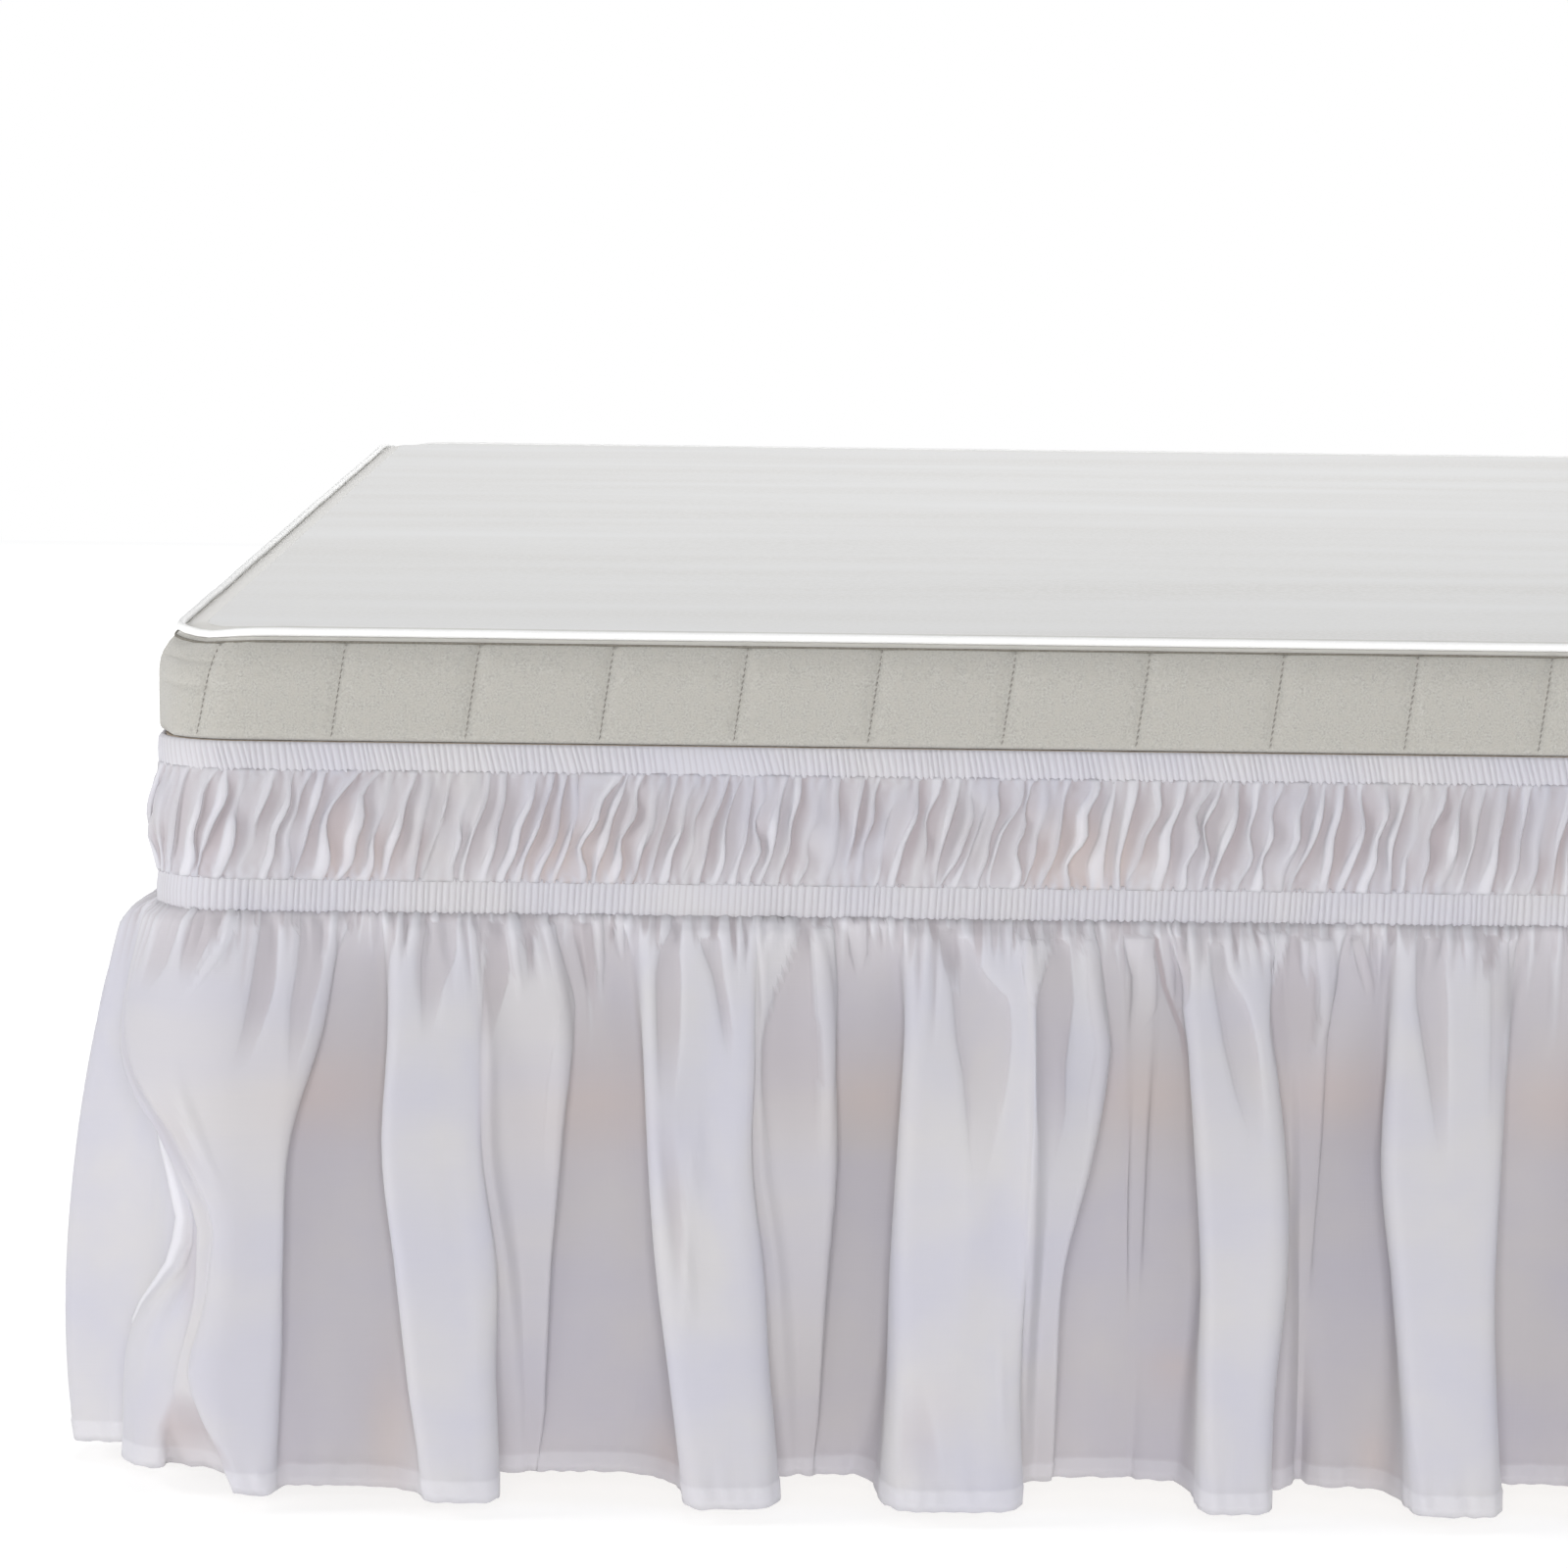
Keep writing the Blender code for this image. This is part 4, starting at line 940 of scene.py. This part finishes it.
def folds_by_rule(start, end, seed):
    """Main folds, uneven in place, width and sway, some with a small fold beside them
    that fades before the hem."""
    uneven = random.Random(seed)
    heights = np.linspace(0, 1, 6)
    folds = []
    place = start
    while place < end - SHORTEST_PITCH:
        pitch = min(uneven.uniform(*FOLD_PITCH), end - place)
        wide = pitch * uneven.uniform(*FOLD_SHARE)
        left = [place + uneven.uniform(-FOLD_SWAY, FOLD_SWAY) for _ in range(3)]
        right = [edge + wide * uneven.uniform(*FOLD_SWELL) for edge in left]
        reach = (TOP_REACH, uneven.uniform(*WAIST_REACH), uneven.uniform(*HEM_REACH))
        folds.append(Fold(through(left, heights), through(right, heights), reach, (0, 0, 0)))
        spare = place + pitch - max(right)
        if uneven.random() < NOOK_CHANCE and spare > NOOK_GAP * 2 + NOOK_WIDE[0]:
            near = [edge + NOOK_GAP for edge in right]
            far = [edge + across for edge, across in zip(near, NOOK_WIDE)]
            faded = (NOOK_ENDS[0], uneven.uniform(*NOOK_REACH), NOOK_ENDS[1])
            folds.append(Fold(through(near, heights), through(far, heights), faded, (0, 0, 0)))
        place += pitch
    return folds


def smooth_turns(turns, t):
    """Reads each row of turns at t, along a curve that never doubles back."""
    gap = np.diff(turns, axis=1)
    slope = np.empty_like(turns)
    slope[:, 1:-1] = 2 * gap[:, 1:] * gap[:, :-1] / (gap[:, 1:] + gap[:, :-1])
    slope[:, 0], slope[:, -1] = gap[:, 0], gap[:, -1]
    k = np.minimum(t.astype(int), turns.shape[1] - 2)
    u = t - k
    return (
        turns[:, k] * (1 - eased(u)) + turns[:, k + 1] * eased(u)
        + slope[:, k] * u * (1 - u) ** 2 - slope[:, k + 1] * u * u * (1 - u)
    )


def fall_section(folds, start, end, edge_reach, shares, t):
    """The fall's sections at all shares of the way down, read at t, where whole numbers
    are a valley, a left edge, a crest and a right edge in turn: place, reach, and how
    brightly lit from 0 in a valley to 1 on a crest."""
    lefts = np.stack([down(fold.left, shares) for fold in folds], 1)
    rights = np.stack([down(fold.right, shares) for fold in folds], 1)
    start, end = down(start, shares), down(end, shares)
    limit = start + SMALLEST_GAP
    for i in range(len(folds)):
        lefts[:, i] = np.maximum(lefts[:, i], limit)
        rights[:, i] = np.maximum(rights[:, i], lefts[:, i] + SMALLEST_GAP)
        rights[:, i] = np.minimum(rights[:, i], end - SMALLEST_GAP)
        limit = rights[:, i] + SMALLEST_GAP
    reaches = np.stack([through(fold.reach, shares) for fold in folds], 1)
    gained = np.stack([through(fold.floor, shares) for fold in folds[:-1]], 1)
    ground = through(VALLEY_REACH, shares)[:, None]
    gap = lefts[:, 1:] - rights[:, :-1]
    shallow = np.clip((FULL_VALLEY - gap) / (FULL_VALLEY - CLOSE_FOLDS), 0, 1)
    lift = np.minimum(reaches[:, 1:], reaches[:, :-1]) * 0.98 * shallow
    floors = np.column_stack([edge_reach[0], ground + lift + gained, edge_reach[1]])
    usual = 0.9 * through(MAIN_REACH, shares)[:, None]
    crest_tone = np.clip(reaches / usual, 0, 1) ** 1.6
    crest_tone[:, [0, -1]] = 1.0
    between = np.clip(1.3 * shallow, 0, 1) * np.minimum(crest_tone[:, 1:], crest_tone[:, :-1])
    valley_tone = np.pad(between, ((0, 0), (1, 1)), constant_values=1.0)
    turns = np.empty((len(shares), 4 * len(folds) + 1))
    turns[:, 0], turns[:, -1] = start, end
    turns[:, 4:-1:4] = rights[:, :-1] + gap * through(VALLEY_PLACE, shares)[:, None]
    turns[:, 1::4] = lefts
    turns[:, 2::4] = (lefts + rights) / 2
    turns[:, 3::4] = rights
    fold = np.minimum((t / 4).astype(int), len(folds) - 1)
    quarter = t - 4 * fold
    side = (quarter > 2).astype(int)
    valley, crest = floors[:, fold + side], ground + reaches[:, fold]
    closing = np.minimum(1.0, [through(CLOSE_LEFT, shares), through(CLOSE_RIGHT, shares)])
    stands = np.clip((crest - valley) / (CLOSING_STEP * crest), 0, 1)
    hangs_free = (fold + side == 0) | (fold + side == len(folds))
    closing = np.where(hangs_free, 0.0, closing[side].T * stands)
    half = turns[:, 4 * fold + 2 + 2 * side] - turns[:, 4 * fold + 2 * side]
    along = smooth_turns(turns, t) + closing * half / 4 * np.sin(math.pi * quarter)
    climb = (0.5 - np.abs(quarter - 2) / 2)[None]
    front = np.interp(shares, (0, 1), FLAT_FRONT)[:, None]
    rise = (1 - np.cos(math.pi * np.clip(climb * front + 0.5, 0, 1))) / 2
    low = valley_tone[:, fold + side]
    lit = eased(np.clip(climb * TONE_EDGE + 0.5, 0, 1))
    return along, valley + (crest - valley) * rise, low + (crest_tone[:, fold] - low) * lit


def spaced_columns(folds, start, end, edge_reach, columns):
    """Where to put the columns, so that they are even both at the top and at the hem."""
    fine = np.linspace(0, 4 * len(folds), 160 * len(folds) + 1)
    shares = np.array([0.05, 0.85])
    edges = [down(each, shares) for each in edge_reach]
    x, y = outline(*fall_section(folds, start, end, edges, shares, fine)[:2])
    steps = np.hypot(np.diff(x, axis=1), np.diff(y, axis=1))
    steps = steps / steps.sum(1, keepdims=True)
    weight = 0.55 * steps[0] + 0.45 * steps[1]
    return np.interp(np.linspace(0, 1, columns), summed(weight) / weight.sum(), fine)


def fine_gathers(run, level, seed):
    """Small gathers where the cloth leaves the elastic: light tongues that hang into the
    valleys and dark wedges let into the folds, in relief and in painted light and shade.
    Each narrows and dies away at its own height. Gives their relief in m, and the lit
    level, from which the cloth's shade is painted, with them in it."""
    uneven = np.random.default_rng(seed)
    edges = [0.0]
    while edges[-1] < run[-1]:
        edges.append(edges[-1] + uneven.uniform(*GATHER_WIDE))
    edges = np.array(edges)
    wide = np.diff(edges)
    count = len(wide)
    least, usual, rare = GATHER_LONG
    long = least + usual * uneven.random(count) + rare * uneven.random(count) ** 4
    of_width, most = GATHER_TALL
    tall = np.minimum(of_width * wide, most) * uneven.uniform(0.4, 1.25, count)
    swing = uneven.uniform(-GATHER_SWING, GATHER_SWING, count)
    middles = (edges[1:] + edges[:-1]) / 2
    share = FALL_SHARES[:, None]
    moved = run + np.interp(run, middles, swing) * np.sin(9 * share)
    cell = np.clip(np.searchsorted(edges, moved, side="right") - 1, 0, count - 1)
    across = np.clip((moved - edges[cell]) / wide[cell], 0, 1) ** 1.3
    gone = np.clip(share / np.interp(moved, middles, long), 0, 1)
    broad = 0.52 + (2 * level - 1) * 0.50 * gone
    ridge = eased(np.clip((broad - np.abs(2 * across - 1)) / 0.40 + 0.5, 0, 1))
    change = (ridge - level) * (1 - gone ** 2)
    grow = np.clip(0.70 + share / 0.045, 0, 1)
    return np.interp(moved, middles, tall) * change * grow, level + change


def soft_waves(run, depth, seed, wavelength, height):
    """A smooth uneven field over the cloth, from a few slanting waves."""
    uneven = np.random.default_rng(seed)
    total = 0.0
    for _ in range(9):
        long = wavelength * uneven.uniform(0.7, 1.6)
        turn = uneven.uniform(-0.9, 0.9)
        wave = np.cos(turn) * run + np.sin(turn) * depth * 0.6
        total = total + np.sin(2 * math.pi * wave / long + uneven.uniform(0, 6.3))
    return height * total / 3


def lay_plates(plates, along, deep):
    """At each point the mm inside the edge of the nearest plate, that plate's painted shade
    and the mm that it stands out; and the relief of all plates in m. A plate sinks into the
    cloth's painted shade at its foot, and one that doesn't hang from a gather at its top."""
    relief, shades, stands_mm = (np.zeros_like(along) for _ in range(3))
    nearest = np.full_like(along, FAR_OUTSIDE)
    share = FALL_SHARES[:, None]
    for shade, height, edges in plates:
        at, left, right = np.array(edges).T
        within = FALL_DROP * np.minimum(share - at[0] + 0.01, at[-1] - share)
        beside = np.minimum(along - np.interp(share, at, left), np.interp(share, at, right) - along)
        inside = np.minimum(beside, within)
        fading = PLATE_FADE * (at[-1] - at[0])
        kept = np.clip((at[-1] - share) / fading, 0, 1)
        crisp = 1.0
        if at[0] >= GATHERED_TO:
            kept = kept * np.clip((share - at[0]) / fading, 0, 1)
            crisp = 0.35
        kept = eased(kept)
        marked = np.maximum(1000 * crisp * inside, FAR_OUTSIDE)
        closer = marked > np.minimum(nearest, 0.0)
        nearest = np.where(closer, marked, nearest)
        shades = np.where(closer, deep + (shade - deep) * kept, shades)
        stands_mm = np.where(closer, 1000 * crisp * height * kept, stands_mm)
        relief += height * kept * eased(np.clip(inside / PLATE_SLOPE + 0.5, 0, 1))
    return np.stack([nearest, shades, stands_mm], -1), relief


def plates_by_rule(folds, seed):
    """Wedges let into the main folds, and tongues hanging into the wide valleys: relief, each with its
    painted shade.
    """
    uneven = random.Random(seed)
    made = []
    at_top, at_foot = PLATE_STRAY
    for fold, after in zip(folds, folds[1:] + [None]):
        left, right = fold.left[0], fold.right[0]
        places = []
        if fold.reach[2] > MAIN_FOLD:
            for share in uneven.choice(((0.5,), (0.3, 0.7), (0.25, 0.6), (0.4, 0.8))):
                drift = (fold.left[2] - left) * (1 - share) + (fold.right[2] - right) * share
                places.append((left + (right - left) * share, drift, False))
        gap = after.left[0] - right if after else 0.0
        for k in range(int(gap / TONGUE_PITCH)):
            places.append((right + 0.010 + TONGUE_PITCH * k, 0.0, True))
        for place, drift, tongue in places:
            wide = uneven.uniform(*(TONGUE_WIDE if tongue else WEDGE_WIDE)) / 2
            long = uneven.uniform(*(TONGUE_LONG if tongue else WEDGE_LONG))
            place += uneven.uniform(-at_top, at_top)
            swing = drift * long / 0.4 + uneven.uniform(-at_foot, at_foot)
            shade = uneven.uniform(*(TONGUE_SHADE if tongue else WEDGE_SHADE))
            height = uneven.uniform(*PLATE_STANDS) * (1 if tongue else -1)
            made.append((shade, height, (
                (0.01, place - wide * 0.8, place + wide * 0.8),
                (0.35 * long, place + 0.4 * swing - wide, place + 0.4 * swing + wide),
                (0.70 * long, place + 0.8 * swing - 0.7 * wide, place + 0.8 * swing + 0.7 * wide),
                (long, place + swing, place + swing + 0.001),
            )))
    return made


def nicks(start, end, seed):
    """The small nicks between the gathers, close under the casing: sunk a little, and darkened with
    painted shade.
    """
    uneven = random.Random(seed)
    made = []
    place = start + 0.010
    while place < end - 0.010:
        wide, long = uneven.uniform(*NICK_WIDE) / 2, uneven.uniform(*NICK_LONG)
        swing = uneven.uniform(-0.003, 0.003)
        made.append((uneven.uniform(*NICK_SHADE), uneven.uniform(*NICK_STANDS), (
            (0.0, place - wide, place + wide),
            (0.5 * long, place + 0.5 * swing - 0.8 * wide, place + 0.5 * swing + 0.8 * wide),
            (long, place + swing, place + swing + 0.0004),
        )))
        place += uneven.uniform(*NICK_PITCH)
    return made


def painted_warm_places(along, deep, patches):
    """How strongly painted warm light of the cover behind shows through: in a band, where the cloth lies
    in painted shade, and in patches.
    """
    share = FALL_SHARES[:, None]
    middle, half = WARM_BAND
    in_band, in_patch = WARM_SHOWN
    warm = in_band * np.exp(-((share - middle) / half) ** 2) * deep
    for place, level, wide, high in patches:
        x = (place / 1000 - BED_WIDTH / 2 - along) / (wide / 1000)
        y = (share - level) / high
        warm = warm + in_patch * np.exp(-(x * x + y * y)) * (0.25 + 0.75 * deep)
    return np.clip(warm, 0, 1)


def add_fall(name, node, folds, plates, start, end, edge_reach, patches, seed, columns):
    """A gathered panel from the lower casing down to its hem, between its upright edges
    at start and end, which are places at six heights."""
    share = FALL_SHARES[:, None]
    depth = share * FALL_DROP
    t = spaced_columns(folds, start, end, edge_reach, columns)
    edges = [down(each, FALL_SHARES) for each in edge_reach]
    along, reach, level = fall_section(folds, start, end, edges, FALL_SHARES, t)
    x, y = outline(along, reach)
    dx, dy = np.gradient(x, axis=1), np.gradient(y, axis=1)
    size = np.hypot(dx, dy)
    top_run, hem_run = (summed(np.hypot(np.diff(x[row]), np.diff(y[row]))) for row in (2, -1))
    run_here = np.cumsum(size, axis=1)
    from_edge = np.minimum(run_here, run_here[:, -1:] - run_here)

    # The cloth's own relief, out from the folds, and its painted shade, darker in the
    # valleys and the gathers' hollows.
    relief, level = fine_gathers(top_run, level, seed)
    relief += soft_waves(hem_run, depth, seed + 1, *CLOTH_WAVES) * np.clip(4 * share, 0, 1)
    deep = np.clip(1 - level, 0, 1) * np.interp(share, (0.0, 0.7, 1.0), VALLEY_SHADE)
    deep = deep * np.where(share > HEM_TOP, 0.7, 1.0)
    plate_marks, plate_relief = lay_plates(nicks(start[0], end[0], seed + 5) + plates, along, deep)
    pucker = np.exp(-((share - HEM_TOP) / 0.030) ** 2) + 0.5 * (share > HEM_TOP)
    pucker = pucker * soft_waves(hem_run, 0.3 * depth, seed + 2, *PUCKER_WAVES)
    height, long = EDGE_RUFFLE
    ruffle = np.sin(2 * math.pi * depth / long + 2 * np.sin(60 * depth))
    ruffle = height * ruffle * np.exp(-(from_edge / EDGE_HEM) ** 2) * np.clip(4 * share - 0.8, 0, 1)
    relief += plate_relief + pucker + ruffle

    # At its top the cloth swings out from where it is tucked in under the casing.
    neck = np.clip(depth / np.maximum(NECK_LEAST, (reach - NECK_REACH) / NECK_SWING), 0, 1)
    neck = neck * (2 - neck)
    x, y = x + relief * dy / size, y - relief * dx / size
    tucked_x, tucked_y = outline(along, NECK_REACH + NECK_GATHER * np.clip(relief, *NECK_RELIEF))
    x, y = tucked_x + (x - tucked_x) * neck, tucked_y + (y - tucked_y) * neck
    out = (reach - reach.min(1, keepdims=True)) / np.ptp(reach, axis=1, keepdims=True)
    z = FALL_TOP - depth + HEM_UNEVEN * (1 - 2 * out) * share
    z[0] += NECK_TUCK + soft_waves(top_run, 0.0, seed + 4, *TOP_WAVES)
    z += soft_waves(hem_run, 0.0, seed + 3, *HEM_WAVES) * np.clip((share - HEM_TOP) / HEM_SHARE, 0, 1)

    beside = np.clip((EDGE_HEM + 0.001 - from_edge) / 0.002, 0, 1)
    double = (share > HEM_TOP - 0.001) | (beside > 0.5)
    # Whiter where the cloth lies double in its hems, and painted light at its top that fades down.
    shown = np.maximum(np.maximum(0.38 * double, 0.85 * beside), np.exp(-depth / SEAM_DOUBLE_AND_LIGHT))
    marks = {
        "place": np.stack([hem_run + 0 * z, depth + 0 * z, 0 * z], -1),
        "painted_light_and_hem": np.stack([deep, painted_warm_places(along, 2 * deep, patches), shown], -1),
        "plate": plate_marks,
    }
    cloth = add_piece(
        name, np.stack([x, y, z], -1), grid_faces(*z.shape), [skirt_cloth], "skirt_cloth",
        marks=marks,
    )
    hem = cloth.vertex_groups.new(name="hem")
    hem.add(np.flatnonzero(double.ravel()).tolist(), 1.0, "REPLACE")
    body = thicken(cloth, HEM_THICK)
    body.vertex_group = hem.name
    body.thickness_vertex_group = CLOTH_THICK / HEM_THICK
    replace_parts(cloth, node)


def mirrored(fold):
    """The same fold on the other side of the bed."""
    return Fold(-fold.right, -fold.left, fold.reach, fold.floor)


def from_mm(places):
    """Places in mm to the right of the mattress's left side, as m from the bed's middle."""
    return np.array(places) / 1000 - BED_WIDTH / 2


foot_folds = [
    Fold(from_mm(left), from_mm(right), np.array(reach) / 1000, np.array(floor) / 1000)
    for left, right, reach, floor in FOOT_FOLDS.values()
]
by_rule = folds_by_rule(*RIGHT_HALF, FOOT_SEED) + [mirrored(foot_folds[k]) for k in (1, 0)]
foot_plates = [
    (shade, height / 1000, [(at, *from_mm(edges)) for at, *edges in rows])
    for shade, height, *rows in FOOT_PLATES
]
foot_start, foot_edge = from_mm(FOOT_EDGE), np.array(FOOT_EDGE_REACH) / 1000
add_fall(
    "skirt_foot_fall", "fall_foot", foot_folds + by_rule,
    foot_plates + plates_by_rule(by_rule, PLATE_SEED), foot_start, -foot_start,
    (foot_edge, foot_edge), WARM_PATCHES, 71, FALL_COLUMNS["foot"],
)


# Side falls. The same panels along the two long sides. Each starts behind the foot fall's
# edge, and runs round the head corner, where it ends in a plain hemmed edge.
SIDE_EDGE_REACH = (0.0016, 0.0022, 0.0026)  # top, waist, hem
SLIT_LAP = 0.0550
SIDE_FIRST_FOLD = (0.030, 0.100)
SIDE_FIRST_REACH = (0.020, 0.047, 0.047)
SIDE_LAST_FOLD = (-0.012, 0.072)
SIDE_LAST_REACH = (0.008, 0.036, 0.042)
SIDE_FOLD_SPACE = (0.050, 0.030)


def side_fall(name, node, side, seed, waves_seed):
    """One long side's fall, from the foot corner to the head end."""
    even = np.ones(6)
    first, last = (
        Fold((turn + left) * even, (turn + right) * even, reach, (0, 0, 0))
        for turn, (left, right), reach in (
            (SIDE_START, SIDE_FIRST_FOLD, SIDE_FIRST_REACH), (SIDE_END, SIDE_LAST_FOLD, SIDE_LAST_REACH)
        )
    )
    after_first, before_last = SIDE_FOLD_SPACE
    between = folds_by_rule(first.right[0] + after_first, last.left[0] - before_last, seed)
    folds = [first, *between, last]
    heights = np.linspace(0, 1, 6)
    edges = [through(SIDE_EDGE_REACH, heights), through(VALLEY_REACH, heights)]
    start, end = FOOT_FALL_END - SLIT_LAP, CLOTH_END
    if side < 0:
        folds = [mirrored(fold) for fold in reversed(folds)]
        start, end, edges = -end, -start, edges[::-1]
    add_fall(
        name, node, folds, plates_by_rule(folds, waves_seed), start * even, end * even, edges,
        (), waves_seed, FALL_COLUMNS["side"],
    )


side_fall("skirt_left_fall", "fall_left", -1, LEFT_SEED, 83)
side_fall("skirt_right_fall", "fall_right", 1, RIGHT_SEED, 97)


# Head elastics. Across the head end the skirt has no cloth: its two elastics run on bare
# from casing to casing. Each is a flat knitted band with ribs along it.
ELASTIC_THICK = 0.0015
ELASTIC_RIB = 0.0019
ELASTIC_IN_CASING = 0.0060


def knitted_elastic():
    """Knitted polyester over rubber: white, matt, ribbed along its length. The loops
    between the ribs are drawn 1.2 mm apart to show."""
    made, tree, shader = new_material("knitted_elastic", 0.82)
    place = add_node(tree, "TexCoord", {}, "Object")
    yarn, loops = flecked(tree, place, (830, 500, 1250), "#CFCFCC", "#EAEAE8", (0.3, 0.7))
    relief = add_node(tree, "Bump", {"Height": loops, "Distance": 0.00025})
    fill(tree, shader, {"Base Color": yarn, "Normal": relief})
    return made


def head_elastic(name, node, top, height, finish):
    """A bare elastic from casing to casing: ribs in front, flat behind."""
    half = FOOT_STRAIGHT - HEAD_WRAP + ELASTIC_IN_CASING
    x = np.linspace(half, -half, 97)[None]
    ribs = round(height / ELASTIC_RIB)
    share = np.linspace(0, 1, 4 * ribs + 1)[:, None]
    rib = np.abs(np.sin(math.pi * share * ribs)) ** 0.7
    inner = BASE_HALF_LENGTH + SEAT_GAP + BED_CENTRE_Y
    z = top - height * share + 0.0006 * np.sin(x * 9.0) * (2 * share - 1)
    front = np.stack([x + 0 * z, inner + ELASTIC_THICK * (0.55 + 0.45 * rib) + 0 * z, z], -1)
    back_z = np.array([[top - height], [top]]) + 0 * x
    back = np.stack([x + 0 * back_z, inner + 0 * back_z, back_z], -1)
    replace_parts(add_piece(name, *closed_band(front, back), [finish], "elastic"), node)


elastic = knitted_elastic()
head_elastic("head_elastic_top", "elastic_top", TOP_CASING_TOP, TOP_CASING_HEIGHT, elastic)
head_elastic("head_elastic_lower", "elastic_lower", LOWER_CASING_TOP, LOWER_CASING_HEIGHT, elastic)


# Floor and light. The photo's white cut-out ground, as a pale floor that glows a little,
# under a white surround. Softboxes stand in front and behind, and windows at both sides,
# the left one the brighter.
HALF_FLOOR = 7.0

floor_corners = [(x * HALF_FLOOR, y * HALF_FLOOR, 0) for x, y in ((-1, -1), (1, -1), (1, 1), (-1, 1))]
floor_mesh = bpy.data.meshes.new("floor")
floor_mesh.from_pydata(floor_corners, [], [(0, 1, 2, 3)])
pale_floor, floor_tree, floor_shader = new_material("pale_floor", 0.9)
floor_place = add_node(floor_tree, "TexCoord", {}, "Object")
from_bed = add_node(floor_tree, "VectorMath", {0: floor_place}, "Value", operation="LENGTH")
glow = add_node(
    floor_tree, "MapRange",
    {"Value": from_bed, "From Min": 1.2, "From Max": 3.6, "To Min": 0.78, "To Max": 0.90},
)
white_glow = {"Base Color": "#9A9A9A", "Emission Color": "#FFFFFF", "Emission Strength": glow}
fill(floor_tree, floor_shader, white_glow)
floor_mesh.materials.append(pale_floor)
floor = bpy.data.objects.new("floor", floor_mesh)
floor.location.z = -0.0002
bpy.context.scene.collection.objects.link(floor)

world = bpy.data.worlds.new("white_surround")
bpy.context.scene.world = world
world.use_nodes = True
surround = world.node_tree
direct = add_node(surround, "LightPath", {}, "Is Camera Ray")
seen = add_node(surround, "Background", {"Color": "#FFFFFF", "Strength": 1.0})
given = add_node(surround, "Background", {"Color": "#F6F8FF", "Strength": 0.16})
both = add_node(surround, "MixShader", {"Fac": direct, 1: given, 2: seen})
fill(surround, surround.nodes["World Output"], {"Surface": both})

LIGHTS = (
    # name, place, aimed at, side in m, watts
    ("front_softbox", (-0.5, -6.8, 1.3), (-0.3, -1.0, 0.25), 1.7, 195.0),
    ("window", (-4.2, -1.5, 1.6), (-0.7, -0.4, 0.3), 2.0, 87.0),
    ("right_fill", (3.8, -4.2, 1.4), (0.0, -1.0, 0.25), 2.4, 35.0),
    ("right_window", (4.4, 0.9, 1.6), (0.7, 0.2, 0.3), 2.0, 60.0),
    ("back_softbox", (0.0, 6.6, 1.5), (0.0, 1.0, 0.25), 2.0, 130.0),
    ("ceiling", (0.0, 0.8, 4.2), (0.0, 0.8, 0.0), 3.4, 88.0),
)
for name, place, target, size, watts in LIGHTS:
    light_data = bpy.data.lights.new(name, "AREA")
    light_data.size = size
    light_data.energy = watts
    light = bpy.data.objects.new(name, light_data)
    light.location = place
    away = Vector(place) - Vector(target)
    light.rotation_euler = away.to_track_quat("Z", "Y").to_euler()
    bpy.context.scene.collection.objects.link(light)

bpy.context.scene.view_settings.view_transform = "Standard"
bpy.context.scene.view_settings.look = "None"
